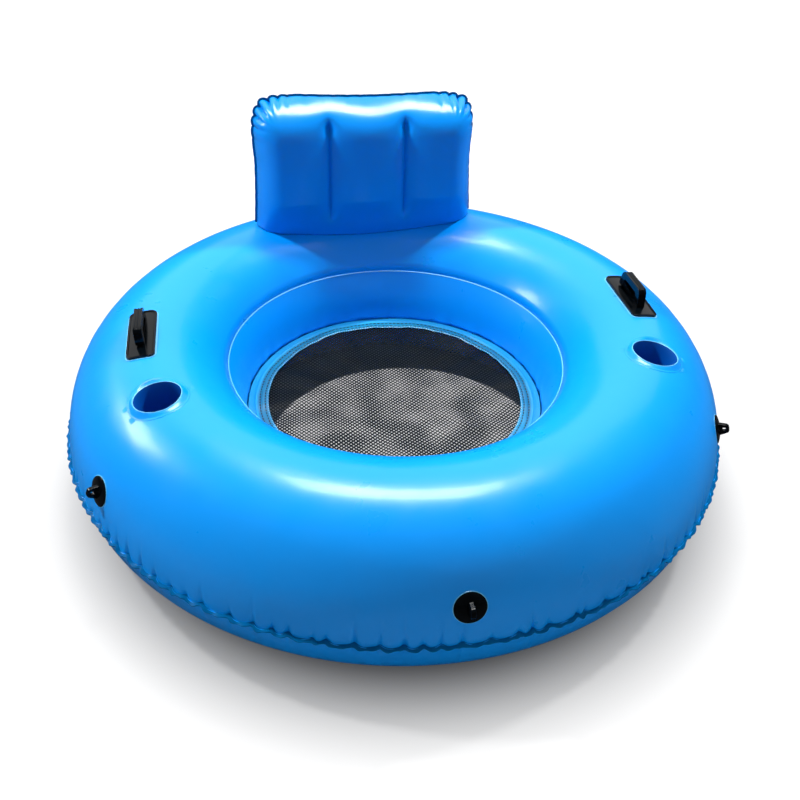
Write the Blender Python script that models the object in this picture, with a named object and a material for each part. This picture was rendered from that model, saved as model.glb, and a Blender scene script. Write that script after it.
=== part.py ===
"""Inflatable pool lounger: a ring tube with an open net seat, a three-chamber backrest, two moulded grab
handles, two cup wells, six rope lugs and two air valves.

Metres, +Z up. The origin is on the ground at the centre of the ring, -Y is the front, +Y is the backrest.
"""

import math

import bmesh
import bpy
import numpy as np
from mathutils import Matrix, Vector

# General
GAP = 0.0003            # space kept between touching pieces
SKIN = 0.0006           # thickness of the vinyl sheet

# Ring tube
TUBE_RADIUS = 0.476     # ring centre to centre of the tube section
TUBE_HALF_WIDTH = 0.174
TUBE_AXIS_Z = 0.130     # height of the widest part of the section
TUBE_RISE = 0.198       # from there to the crest
TUBE_DROP = 0.1312      # from there to the underside before the ground flattens it
TUBE_TOP_FULLNESS = 2.0
TUBE_BOTTOM_FULLNESS = 2.33
TUBE_SIDES = 44         # facets round the ring
ROUND_SIDES = 32        # facets round a well or a flange
SMALL_SIDES = 20        # facets round a small fitting
ROOT = 0.010            # how far a fitting starts inside the skin before its foot is cut to the tube
PASS = 0.030            # how far a cutter runs past the sheet it opens
OUTER_FIN = 0.007       # width of the welded fin round the outside
LAP = 0.009             # overlap of the lapped seam inside the ring
INNER_SEAM_ANGLE = 145.0
SEAT_SEAM_HEIGHT = 0.136
SEAT_FIN = 0.013        # welded fin that carries the seat band

# Seat
BAND_WIDTH = 0.0415
BAND_PLAY = 0.0005
BAND_SHEET = 0.0008
MESH_HEM = 0.022        # how far the net runs under the band
MESH_SHEET = 0.0010
NET_PITCH = 0.046
NET_STRAND = 0.0060
BINDING_SHEET = 0.0010

# Cup wells
CUP_OUT = 0.023         # outwards from the crest of the tube
CUP_TURN = 21.8         # degrees in front of the side axis
CUP_RADIUS = 0.042
CUP_DEPTH = 0.095
CUP_WALL = 0.0012
CUP_FLANGE = 0.013
CUP_BEAD = 0.0004       # height of the well's rim over its flange
WELD_SHEET = 0.0008     # thickness of a welded flange

# Handles
HANDLE_OUT = 0.015      # outwards from the crest of the tube
HANDLE_TURN = 2.0       # degrees behind the side axis
PLATE_LENGTH = 0.158
PLATE_WIDTH = 0.054
PLATE_SHEET = 0.0040
PLATE_CORNER = 0.012
PLATE_RIM = 0.005
PLATE_RECESS = 0.0012
PLATE_BENDS = 7         # facets along the plate, which follows the skin
GRIP_LENGTH = 0.098
GRIP_HEIGHT = 0.038
GRIP_WIDTH = 0.0165
GRIP_BAR = 0.013        # height of the bar over the finger gap
GRIP_LEG = 0.017        # length of each leg at the plate
GRIP_TAPER = 0.008      # how much the legs lean in
GRIP_GROOVE = 0.0018
GRIP_EDGE = 0.0030
GAP_ROUND = 0.005       # radius of the finger gap's upper corners

# Rope lugs
LUG_ANGLE = 20.5        # section angle above the widest part
LUG_SPREAD = 64.5       # degrees from the front lug to its neighbours
REAR_LUG_SPREAD = 53.0  # degrees from the rear lug to its neighbours
LUG_DISC = 0.0275
LUG_EDGE = 0.0018
LUG_DOME = 0.0050
BLADE_REACH = 0.024
BLADE_ROOT = 0.025
BLADE_TIP = 0.016
BLADE_THICKNESS = 0.0075
EYE_LENGTH = 0.0120
EYE_HEIGHT = 0.0090
EYE_INSET = 0.0035      # material between the eye and the blade's tip

# Backrest
BACK_SETBACK = 0.036    # from the middle of the tube in to the backrest's seam plane
BACK_WIDTH = 0.488
BACK_HEIGHT = 0.277
BACK_LEAN = 8.0
FRONT_BULGE = 0.076
REAR_BULGE = 0.064
SIDE_ROUND = 0.060
TOP_ROUND = 0.085
REAR_FOOT = 0.110       # height over which the rear swells out of the bottom seam
BACK_FIN = 0.008
TOP_DIP = 0.009
SIDE_DRAW = 0.006
CORNER_PULL = 0.014
FRONT_DROP = 0.075      # how far the front reaches down before the tube stops it
FRONT_TUCK = 0.030      # height below which the front draws in towards the tube
REAR_DROP = 0.007
BASE_TOP = 0.050        # height of the base panel's upper edge
BASE_FRONT = 0.0020     # least depth of the base panel in front of the seam plane
BASE_REAR = 0.0015
WEB_X = 0.083
WEB_LOW = 0.050
WEB_HIGH = 0.212
GROOVE_SHARE = 0.30
GROOVE_WIDTH = 0.016
GROOVE_FADE = 0.030     # height over which a groove dies out at its ends
STRIP_SHEET = 0.0008
STRIP_LENGTH = 0.430
STRIP_WIDTH = 0.028

# Main valve
VALVE_TURN = 125.0
VALVE_ANGLE = 25.0
VALVE_FLANGE = 0.032
VALVE_FLANGE_SHEET = 0.0015
NECK_RADIUS = 0.0165
NECK_BORE = 0.0125
NECK_HEIGHT = 0.012
INSERT_WALL = 0.0027
INSERT_LIP = 0.0015
INSERT_FOOT = 0.0040    # height of the insert's lower end over the skin
SPOKE = 0.0018          # thickness of the hub that holds the flap
HUB_RISE = 0.0004       # height of the hub's underside over the insert's lower end
HUB_RADIUS = 0.0042
STEM_RADIUS = 0.0018
FLAP_SHEET = 0.0009
CAP_WALL = 0.0035
CAP_TOP = 0.0020
CAP_SKIRT = 0.0046      # height of the skirt's lower edge over the skin
CAP_RIBS = 12
CAP_RIB = 0.0011
STUD_RADIUS = 0.0030
STUD_HEIGHT = 0.0019
STUD_HEAD = 0.0046
STUD_HEAD_SHEET = 0.0012
TETHER_SHEET = 0.0013
TETHER_WIDTH = 0.0060
TETHER_REACH = 0.036
TETHER_RING = 0.0035    # radial width of each tether ring
STRAP_STEPS = 8         # facets along a bent strap

# Backrest valve
STOPPER_X = 0.140
STOPPER_HEIGHT = 0.095
STOPPER_FLANGE = 0.0180
STOPPER_FLANGE_SHEET = 0.0010
STOPPER_TUBE = 0.0062
STOPPER_BORE = 0.0043
STOPPER_LENGTH = 0.009
PLUG_PLAY = 0.0003
PLUG_HEAD = 0.0078
PLUG_HEAD_SHEET = 0.0020
STRAP_WIDTH = 0.0050
STRAP_SHEET = 0.0010
STRAP_RISE = 0.0035

# Worked out from the sizes above
CREST_Z = TUBE_AXIS_Z + TUBE_RISE
BACK_Y = TUBE_RADIUS - BACK_SETBACK
BAND_OUTER = TUBE_RADIUS - TUBE_HALF_WIDTH - BAND_PLAY
BAND_INNER = BAND_OUTER - BAND_WIDTH
BAND_Z = SEAT_SEAM_HEIGHT + SKIN + GAP
HANDLE_RING_RADIUS = TUBE_RADIUS + HANDLE_OUT
CUP_RING_RADIUS = TUBE_RADIUS + CUP_OUT
HINGE_Z = CREST_Z + GAP + STRIP_SHEET + GAP
LEAN = math.radians(BACK_LEAN)


for leftover in list(bpy.data.objects):
    bpy.data.objects.remove(leftover, do_unlink=True)


def make_material(name, colour, roughness, metallic=0.0):
    material = bpy.data.materials.new(name)
    material.use_nodes = True
    shader = material.node_tree.nodes["Principled BSDF"]
    shader.inputs["Base Color"].default_value = (*colour, 1.0)
    shader.inputs["Roughness"].default_value = roughness
    shader.inputs["Metallic"].default_value = metallic
    material.diffuse_color = (*colour, 1.0)
    return material


VINYL_BLUE = make_material("vinyl_blue", (0.0, 0.42, 1.0), 0.22)
VINYL_DEEP = make_material("vinyl_deep_blue", (0.0, 0.10, 0.42), 0.30)
VINYL_LIGHT = make_material("vinyl_light_blue", (0.10, 0.55, 1.0), 0.35)
BLACK_MOULDING = make_material("black_moulding", (0.006, 0.007, 0.010), 0.25)
NET_BLACK = make_material("net_black", (0.010, 0.011, 0.014), 0.70)
VALVE_BLUE = make_material("valve_blue", (0.0, 0.20, 0.70), 0.30)


def new_object(name, bm, material=None):
    """An object from a bmesh, with its faces turned outwards and round parts shaded smooth."""
    bmesh.ops.recalc_face_normals(bm, faces=bm.faces)
    if bm.calc_volume(signed=True) < 0:
        bmesh.ops.reverse_faces(bm, faces=bm.faces)
    mesh = bpy.data.meshes.new(name)
    bm.to_mesh(mesh)
    bm.free()
    obj = bpy.data.objects.new(name, mesh)
    bpy.context.scene.collection.objects.link(obj)
    if material:
        dress(obj, material)
    return obj


def dress(obj, material):
    obj.data.materials.clear()
    obj.data.materials.append(material)
    obj.data.shade_smooth()
    obj.data.set_sharp_from_angle(angle=math.radians(40))
    return obj


def combine(target, tool, operation):
    """Applies one exact boolean and removes the tool."""
    modifier = target.modifiers.new(operation.lower(), "BOOLEAN")
    modifier.operation = operation
    modifier.solver = "EXACT"
    modifier.object = tool
    bpy.context.view_layer.update()
    graph = bpy.context.evaluated_depsgraph_get()
    result = bpy.data.meshes.new_from_object(target.evaluated_get(graph))
    target.modifiers.clear()
    target.data = result
    bpy.data.objects.remove(tool, do_unlink=True)
    return target


def cut(target, tool):
    return combine(target, tool, "DIFFERENCE")


def join(target, tool):
    return combine(target, tool, "UNION")


def keep_inside(target, tool):
    return combine(target, tool, "INTERSECT")


def turned(profile, sides, closed=True):
    """A profile of (radius, height) points turned about the local Z axis."""
    bm = bmesh.new()
    verts = [bm.verts.new((radius, 0.0, height)) for radius, height in profile]
    edges = [bm.edges.new(pair) for pair in zip(verts, verts[1:])]
    if closed:
        edges.append(bm.edges.new((verts[-1], verts[0])))
    bmesh.ops.spin(bm, geom=verts + edges, axis=(0, 0, 1), cent=(0, 0, 0), steps=sides,
                   angle=math.tau, use_merge=True)
    bmesh.ops.remove_doubles(bm, verts=bm.verts, dist=1e-7)
    return bm


def rod(radius, low, high, sides=SMALL_SIDES):
    """A plain round bar, standing on the local Z axis."""
    return turned([(0.0, low), (radius, low), (radius, high), (0.0, high)], sides, closed=False)


def rounded(corners, radius, steps=4):
    """The outline through the corners, each rounded by an arc of the radius."""
    outline = []
    for index, corner in enumerate(corners):
        here = Vector(corner)
        before = (Vector(corners[index - 1]) - here).normalized()
        after = (Vector(corners[(index + 1) % len(corners)]) - here).normalized()
        half = before.angle(after) / 2
        centre = here + (before + after).normalized() * (radius / math.sin(half))
        start = here + before * (radius / math.tan(half)) - centre
        end = here + after * (radius / math.tan(half)) - centre
        turn = start.angle_signed(end)
        for step in range(steps + 1):
            outline.append(tuple(centre + start @ Matrix.Rotation(turn * step / steps, 2)))
    return outline


def circle(radius, sides):
    return [(radius * math.cos(math.tau * step / sides), radius * math.sin(math.tau * step / sides))
            for step in range(sides)]


def prism(outline, low, high):
    """An outline in the local XY plane, extruded from low to high."""
    bm = bmesh.new()
    face = bm.faces.new([bm.verts.new((x, y, low)) for x, y in outline])
    top = bmesh.ops.extrude_face_region(bm, geom=[face])
    moved = [item for item in top["geom"] if isinstance(item, bmesh.types.BMVert)]
    bmesh.ops.translate(bm, verts=moved, vec=(0, 0, high - low))
    return bm


def ribbon(path, sheet, width):
    """A flat strap along a path of (x, z) points, its width along the local Y axis."""
    points = [Vector(point) for point in path]
    sides = []
    for index, point in enumerate(points):
        ahead = points[min(index + 1, len(points) - 1)] - points[max(index - 1, 0)]
        across = Vector((-ahead.y, ahead.x)).normalized() * sheet / 2
        sides.append((tuple(point + across), tuple(point - across)))
    outline = [side[0] for side in sides] + [side[1] for side in reversed(sides)]
    bm = prism(outline, -width / 2, width / 2)
    bm.transform(Matrix(((1, 0, 0, 0), (0, 0, 1, 0), (0, 1, 0, 0), (0, 0, 0, 1))))
    return bm


def section(angle, offset=0.0):
    """The (radius, height) of the tube's skin at a section angle: 0 outside, 90 crest, 180 inside."""
    turn = math.radians(angle)
    upper = math.sin(turn) >= 0
    full = TUBE_TOP_FULLNESS if upper else TUBE_BOTTOM_FULLNESS
    height = TUBE_RISE if upper else TUBE_DROP
    across = math.copysign(abs(math.cos(turn)) ** (2 / full), math.cos(turn))
    along = math.copysign(abs(math.sin(turn)) ** (2 / full), math.sin(turn))
    normal = Vector((math.copysign(abs(across) ** (full - 1), across) / TUBE_HALF_WIDTH,
                     math.copysign(abs(along) ** (full - 1), along) / height)).normalized()
    point = Vector((TUBE_RADIUS + TUBE_HALF_WIDTH * across, TUBE_AXIS_Z + height * along))
    if point.y < 0:
        point.y = 0.0
        normal = Vector((0.0, -1.0))
    moved = point + normal * offset
    return (moved.x, moved.y)


def section_normal(angle):
    near = Vector(section(angle))
    far = Vector(section(angle, 1.0))
    return far - near


def angles(start, end, count):
    return [start + (end - start) * step / count for step in range(count + 1)]


SEAT_SEAM_ANGLE = 180.0 - math.degrees(math.asin((SEAT_SEAM_HEIGHT - TUBE_AXIS_Z) / TUBE_RISE))
LAP_ANGLE = INNER_SEAM_ANGLE - math.degrees(LAP / TUBE_RISE)
TOP_ANGLES = angles(6.0, LAP_ANGLE, 10) + [INNER_SEAM_ANGLE]
INNER_ANGLES = [LAP_ANGLE] + angles(INNER_SEAM_ANGLE, SEAT_SEAM_ANGLE - 4.0, 3)
BOTTOM_ANGLES = angles(SEAT_SEAM_ANGLE + 6.0, 249.0, 3) + [263.0, 277.0] + angles(291.0, 354.0, 3)


def tube_solid(offset):
    """The whole tube as one solid, its skin moved outwards by the offset, with the panels' own facets."""
    profile = [section(0.0, offset)]
    profile += [section(angle, offset) for angle in TOP_ANGLES]
    profile += [section(angle, offset) for angle in INNER_ANGLES[2:]]
    profile += [section(angle, offset) for angle in BOTTOM_ANGLES]
    return new_object("tube_solid", turned(profile, TUBE_SIDES))


def ring_frame(turn, angle):
    """The frame on the tube's skin: X round the ring, Y up the section, Z out of the skin."""
    turn = math.radians(turn)
    radius, height = section(angle)
    normal = section_normal(angle)
    outward = Vector((math.cos(turn), math.sin(turn), 0.0))
    across = outward * normal.x + Vector((0, 0, normal.y))
    along = outward * -normal.y + Vector((0, 0, normal.x))
    frame = Matrix((along.cross(across), along, across)).transposed().to_4x4()
    frame.translation = outward * radius + Vector((0, 0, height))
    return frame


def crest_angle(radius):
    """The section angle at which the upper skin has this distance from the ring's centre."""
    return math.degrees(math.acos((radius - TUBE_RADIUS) / TUBE_HALF_WIDTH))


def place(bm, frame):
    bm.transform(frame)
    return bm


def on_skin(name, bm, frame, offset=GAP):
    """A piece placed by its frame, with its underside cut to sit on the tube's facets."""
    obj = new_object(name, place(bm, frame))
    return cut(obj, tube_solid(offset))


def weld_flange(name, radius, sheet, frame):
    """A round sheet of even thickness that follows the tube's skin."""
    reach = radius / 2
    obj = on_skin(name, rod(radius, -reach, reach, ROUND_SIDES), frame)
    return keep_inside(obj, tube_solid(GAP + sheet))


# Tube panels
def make_tube_panels():
    top_low = TUBE_AXIS_Z + GAP / 2
    outer = TUBE_RADIUS + TUBE_HALF_WIDTH
    profile = [(outer + OUTER_FIN, top_low), (outer + OUTER_FIN, top_low + SKIN), (outer, top_low + SKIN)]
    profile += [section(angle) for angle in TOP_ANGLES]
    profile += [section(angle, -SKIN) for angle in reversed(TOP_ANGLES)]
    profile += [(outer - SKIN, top_low)]
    top = new_object("tube_top_panel", turned(profile, TUBE_SIDES), VINYL_BLUE)

    wall = TUBE_RADIUS - TUBE_HALF_WIDTH
    tuck = SKIN + GAP
    profile = [section(angle, -tuck) for angle in INNER_ANGLES]
    profile += [(wall + tuck, SEAT_SEAM_HEIGHT + SKIN), (wall - SEAT_FIN, SEAT_SEAM_HEIGHT + SKIN)]
    profile += [(wall - SEAT_FIN, SEAT_SEAM_HEIGHT), (wall + tuck + SKIN, SEAT_SEAM_HEIGHT)]
    profile += [section(angle, -tuck - SKIN) for angle in reversed(INNER_ANGLES)]
    inner = new_object("tube_inner_panel", turned(profile, TUBE_SIDES), VINYL_BLUE)

    seat_low = SEAT_SEAM_HEIGHT - GAP
    fin_low = TUBE_AXIS_Z - GAP / 2
    profile = [(wall - SEAT_FIN, seat_low), (wall - SEAT_FIN, seat_low - SKIN), (wall, seat_low - SKIN)]
    profile += [section(angle) for angle in BOTTOM_ANGLES]
    profile += [(outer, fin_low - SKIN), (outer + OUTER_FIN, fin_low - SKIN), (outer + OUTER_FIN, fin_low)]
    profile += [(outer - SKIN, fin_low)]
    profile += [section(angle, -SKIN) for angle in reversed(BOTTOM_ANGLES)]
    profile += [(wall + SKIN, seat_low)]
    bottom = new_object("tube_bottom_panel", turned(profile, TUBE_SIDES), VINYL_BLUE)
    return top, inner, bottom


# Seat
def make_seat():
    def ring(name, inner, outer, low, sheet, material):
        profile = [(inner, low), (outer, low), (outer, low + sheet), (inner, low + sheet)]
        return new_object(name, turned(profile, TUBE_SIDES), material)

    ring("seat_band", BAND_INNER, BAND_OUTER, BAND_Z, BAND_SHEET, VINYL_LIGHT)
    hem = BAND_INNER + MESH_HEM
    top = BAND_Z - GAP
    net = new_object("seat_net", prism(circle(hem, TUBE_SIDES), top - MESH_SHEET, top))
    holes = bmesh.new()
    side = NET_PITCH - NET_STRAND
    reach = int(hem / NET_PITCH * math.sqrt(2)) + 1
    limit = BAND_INNER - side / math.sqrt(2) + NET_STRAND
    for column in range(-reach, reach + 1):
        for row in range(-reach, reach + 1):
            spot = Vector((column, row, 0)) * NET_PITCH
            spot.rotate(Matrix.Rotation(math.radians(45), 3, "Z"))
            if spot.length > limit:
                continue
            frame = Matrix.Translation(spot + Vector((0, 0, top - MESH_SHEET / 2)))
            frame = frame @ Matrix.Rotation(math.radians(45), 4, "Z") @ Matrix.Diagonal((1, 1, 0.2, 1))
            bmesh.ops.create_cube(holes, size=side, matrix=frame)
    cut(net, new_object("net_holes", holes))
    dress(net, NET_BLACK)
    low = top - MESH_SHEET - GAP - BINDING_SHEET
    ring("seat_binding", BAND_INNER + NET_STRAND, hem, low, BINDING_SHEET, NET_BLACK)


# Cup wells
def make_cup(name, turn, panel):
    frame = ring_frame(turn, crest_angle(CUP_RING_RADIUS))
    outer = CUP_RADIUS + CUP_WALL
    hole = rod(outer + 2 * GAP, -PASS, PASS, ROUND_SIDES)
    cut(panel, new_object("cup_hole", place(hole, frame)))
    cup = weld_flange(name, outer + CUP_FLANGE, WELD_SHEET, frame)
    barrel = new_object("barrel", place(rod(outer, -CUP_DEPTH, PASS, ROUND_SIDES), frame))
    keep_inside(barrel, tube_solid(GAP + WELD_SHEET + CUP_BEAD))
    join(cup, barrel)
    well = rod(CUP_RADIUS, -CUP_DEPTH + CUP_WALL, 2 * PASS, ROUND_SIDES)
    cut(cup, new_object("well", place(well, frame)))
    dress(cup, VINYL_DEEP)


def settle(bm, frame):
    """Bends a fitting made on a flat base over the curved skin under it."""
    out = frame.col[2].to_3d()
    for vert in bm.verts:
        rise = 0.0
        for _step in range(6):
            spot = frame @ Vector((vert.co.x, vert.co.y, rise))
            radius = math.hypot(spot.x, spot.y)
            side = (radius - TUBE_RADIUS) / TUBE_HALF_WIDTH
            up = (spot.z - TUBE_AXIS_Z) / TUBE_RISE
            slope = 2 * side / TUBE_HALF_WIDTH * (spot.x * out.x + spot.y * out.y) / radius
            slope += 2 * up / TUBE_RISE * out.z
            rise -= (side**2 + up**2 - 1) / slope
        vert.co.z += rise
    bmesh.ops.triangulate(bm, faces=bm.faces)


# Handles
def make_handle(name, turn):
    frame = ring_frame(turn, crest_angle(HANDLE_RING_RADIUS))
    half, side = PLATE_LENGTH / 2, PLATE_WIDTH / 2
    corners = [(-half, -side), (half, -side), (half, side), (-half, side)]
    plate = prism(rounded(corners, PLATE_CORNER), -ROOT, PLATE_SHEET)
    top = max(plate.faces, key=lambda face: face.calc_center_median().z)
    bmesh.ops.inset_region(plate, faces=[top], thickness=PLATE_RIM, depth=0.0)
    bmesh.ops.inset_region(plate, faces=[top], thickness=PLATE_RECESS, depth=-PLATE_RECESS)
    bends = [((half * (2 * step / PLATE_BENDS - 1), 0, 0), (1, 0, 0)) for step in range(1, PLATE_BENDS)]
    bends += [((0, share * side, 0), (0, 1, 0)) for share in (-0.4, 0.4)]
    for spot, normal in bends:
        bmesh.ops.bisect_plane(plate, geom=plate.verts[:] + plate.edges[:] + plate.faces[:], dist=1e-6,
                               plane_co=spot, plane_no=normal)
    settle(plate, frame)
    handle = new_object(name, place(plate, frame))

    half = GRIP_LENGTH / 2
    foot = -ROOT / 2
    corners = [(-half, foot), (half, foot), (half - GRIP_TAPER, GRIP_HEIGHT), (GRIP_TAPER - half, GRIP_HEIGHT)]
    outside = [point for point in rounded(corners, GRIP_TAPER, 3) if point[1] > GRIP_HEIGHT / 2]
    inner = half - GRIP_LEG
    under = GRIP_HEIGHT - GRIP_BAR
    floor = PLATE_SHEET - PLATE_RECESS
    narrow = inner - GRIP_TAPER / 2
    corners = [(-inner, floor), (inner, floor), (narrow, under), (-narrow, under)]
    arch = [point for point in rounded(corners, GAP_ROUND, 3) if point[1] > (floor + under) / 2]
    outline = [(half, foot)] + outside + [(-half, foot), (-inner, foot), (-inner, floor)]
    outline += arch[::-1] + [(inner, floor), (inner, foot)]
    body = prism(outline, -GRIP_WIDTH / 2, GRIP_WIDTH / 2)
    rim = [edge for edge in body.edges if abs(edge.verts[0].co.z - edge.verts[1].co.z) < 1e-6
           and min(vert.co.y for vert in edge.verts) > foot + 1e-6]
    bmesh.ops.bevel(body, geom=rim, offset=GRIP_EDGE, segments=1, profile=0.5, affect="EDGES", material=-1)
    upright = Matrix(((1, 0, 0, 0), (0, 0, 1, 0), (0, 1, 0, 0), (0, 0, 0, 1)))
    grip = new_object("grip", place(place(body, upright), frame))
    for lane in (-1, 1):
        slot = bmesh.new()
        spot = Matrix.Translation((0, lane * GRIP_WIDTH / 6, GRIP_HEIGHT))
        bmesh.ops.create_cube(slot, size=1.0,
                              matrix=spot @ Matrix.Diagonal((GRIP_LENGTH, GRIP_GROOVE, GRIP_GROOVE, 1)))
        cut(grip, new_object("slot", place(slot, frame)))
    join(handle, grip)
    cut(handle, tube_solid(GAP))
    dress(handle, BLACK_MOULDING)


# Rope lugs
def make_lug(name, turn):
    frame = ring_frame(turn, LUG_ANGLE)
    rim = LUG_DISC
    profile = [(0.0, -ROOT), (rim, -ROOT), (rim, LUG_EDGE), (rim * 0.88, LUG_EDGE + LUG_DOME * 0.3),
               (rim * 0.6, LUG_DOME * 0.9), (0.0, LUG_DOME)]
    disc = turned(profile, SMALL_SIDES, closed=False)
    disc.transform(Matrix.Rotation(math.pi / SMALL_SIDES, 4, "Z"))
    settle(disc, frame)
    lug = new_object(name, place(disc, frame))
    root, tip = BLADE_ROOT / 2, BLADE_TIP / 2
    blade_frame = frame @ Matrix(((0, 0, 1, 0), (1, 0, 0, 0), (0, 1, 0, 0), (0, 0, 0, 1)))
    corners = [(-root, -0.004), (root, -0.004), (tip, BLADE_REACH), (-tip, BLADE_REACH)]
    outline = rounded(corners, tip * 0.9, 4)
    outline = [(-root, -0.004), (root, -0.004)] + [point for point in outline if point[1] > BLADE_REACH / 3]
    blade = prism(outline, -BLADE_THICKNESS / 2, BLADE_THICKNESS / 2)
    join(lug, new_object("blade", place(blade, blade_frame)))
    low = BLADE_REACH - EYE_INSET - EYE_LENGTH
    half = EYE_HEIGHT / 2
    corners = [(-half, low), (half, low), (half, low + EYE_LENGTH), (-half, low + EYE_LENGTH)]
    eye = prism(rounded(corners, half * 0.98, 4), -BLADE_THICKNESS, BLADE_THICKNESS)
    cut(lug, new_object("eye", place(eye, blade_frame)))
    cut(lug, tube_solid(GAP))
    dress(lug, BLACK_MOULDING)


# Backrest
def quarter(share):
    """Height of a quarter round, from 0 at its edge to 1 where the round ends."""
    return math.sqrt(1 - (1 - min(max(share, 0.0), 1.0)) ** 2)


def round_steps(radius, count):
    """Distances from an edge that divide its quarter round into equal turns."""
    return [radius * (1 - math.cos(math.pi / 2 * step / count)) for step in range(count, -1, -1)]


def groove(x, height):
    near = math.exp(-(((abs(x) - WEB_X) / GROOVE_WIDTH) ** 2))
    wide = 0.25 * math.exp(-(((abs(x) - WEB_X) / (3 * GROOVE_WIDTH)) ** 2))
    inside = min(height - WEB_LOW, WEB_HIGH - height) / GROOVE_FADE
    return GROOVE_SHARE * (near * min(max(inside + 0.5, 0.0), 1.0) + wide)


def swell(x, height, front):
    """Depth of the pillow in front of or behind its seam plane."""
    side = quarter((BACK_WIDTH / 2 - abs(x)) / SIDE_ROUND)
    top = quarter((BACK_HEIGHT - height) / TOP_ROUND)
    depth = side * top * (1 - groove(x, height))
    if front:
        under = min(max((FRONT_TUCK - height) / (FRONT_TUCK + FRONT_DROP), 0.0), 1.0)
        return FRONT_BULGE * depth * (1 - 0.35 * under**2)
    return REAR_BULGE * depth * math.sin(math.pi / 2 * min(max(height / REAR_FOOT, 0.0), 1.0))


def pillow_columns():
    edge = BACK_WIDTH / 2
    flat = edge - SIDE_ROUND
    side = WEB_X + GROOVE_WIDTH
    half = [WEB_X * 0.45, WEB_X - GROOVE_WIDTH, WEB_X, side, (side + flat) / 2]
    half += [edge - step for step in round_steps(SIDE_ROUND, 4)]
    half += [edge + BACK_FIN]
    return [-x for x in reversed(half)] + [0.0] + half


def pillow_rows(front):
    flat = BACK_HEIGHT - TOP_ROUND
    start = [-FRONT_DROP, -FRONT_DROP * 0.55, -FRONT_DROP * 0.2] if front else [-REAR_DROP, 0.0]
    rows = start + [flat * step / 5 for step in range(1, 6)]
    rows += [BACK_HEIGHT - step for step in round_steps(TOP_ROUND, 4)[1:]]
    return rows + [BACK_HEIGHT + BACK_FIN]


def pillow_grid(front, offset=0.0):
    """The pillow's skin as rows of points, moved out of the pillow by the offset."""
    columns, rows = pillow_columns(), pillow_rows(front)
    sign = -1.0 if front else 1.0
    edge = BACK_WIDTH / 2
    points = np.zeros((len(rows), len(columns), 3))
    for row, height in enumerate(rows):
        for column, x in enumerate(columns):
            share_x, share_h = min(abs(x) / edge, 1.0), min(max(height / BACK_HEIGHT, 0.0), 1.0)
            pull = CORNER_PULL * (share_x * share_h) ** 8
            draw = SIDE_DRAW * math.sin(math.pi * share_h) * share_x**6
            dip = TOP_DIP * (1 - share_x**2) * share_h**2
            depth = GAP / 2 + SKIN + swell(x, height, front)
            points[row, column] = (x - math.copysign(pull + draw, x), sign * depth, height - pull - dip)
    if offset:
        points += skin_normals(points, sign) * offset
    return points


def skin_normals(points, sign):
    along = np.gradient(points, axis=1)
    up = np.gradient(points, axis=0)
    normals = np.cross(up, along) * (1 if sign < 0 else -1)
    normals *= np.where((normals[..., 1:2] * sign) < 0, -1, 1)
    return normals / np.linalg.norm(normals, axis=2, keepdims=True)


def in_world(point):
    """A pillow point (x, depth, height) leaned back about the hinge line."""
    x, depth, height = (float(value) for value in point)
    return Vector((x, BACK_Y + depth * math.cos(LEAN) + height * math.sin(LEAN),
                   HINGE_Z + height * math.cos(LEAN) - depth * math.sin(LEAN)))


def between_grids(outer, inner):
    """A closed body between two grids of the same size."""
    bm = bmesh.new()
    rows, columns = outer.shape[:2]
    layers = [[[bm.verts.new(in_world(point)) for point in line] for line in grid] for grid in (outer, inner)]
    for layer in layers:
        for row in range(rows - 1):
            for column in range(columns - 1):
                bm.faces.new((layer[row][column], layer[row][column + 1],
                              layer[row + 1][column + 1], layer[row + 1][column]))
    loop = [(0, column) for column in range(columns)]
    loop += [(row, columns - 1) for row in range(1, rows)]
    loop += [(rows - 1, column) for column in range(columns - 2, -1, -1)]
    loop += [(row, 0) for row in range(rows - 2, 0, -1)]
    for here, there in zip(loop, loop[1:] + loop[:1]):
        bm.faces.new((layers[0][here[0]][here[1]], layers[0][there[0]][there[1]],
                      layers[1][there[0]][there[1]], layers[1][here[0]][here[1]]))
    return bm


def pillow_lining(front, depth):
    """The inside of a panel: the skin moved in by the depth, flat in the seam fin."""
    outer = pillow_grid(front)
    lining = pillow_grid(front, -depth)
    sign = -1.0 if front else 1.0
    flat = np.abs(outer[..., 1]) < GAP / 2 + SKIN + 1e-6
    lining[flat] = outer[flat]
    lining[flat, 1] = sign * (GAP / 2 + SKIN - depth)
    edge, top = pillow_columns().index(BACK_WIDTH / 2), pillow_rows(front).index(BACK_HEIGHT)
    last = len(pillow_columns()) - 1
    lining[: top + 1, edge, 0] -= depth
    lining[: top + 1, last - edge, 0] += depth
    lining[top, last - edge : edge + 1, 2] -= depth
    return lining


def pillow_solid(front, offset):
    """The half of the pillow on one side of its seam plane, as one solid."""
    outer = pillow_grid(front, offset)
    plane = outer.copy()
    plane[..., 1] = 0.0
    return new_object("pillow_solid", between_grids(outer, plane))


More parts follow.
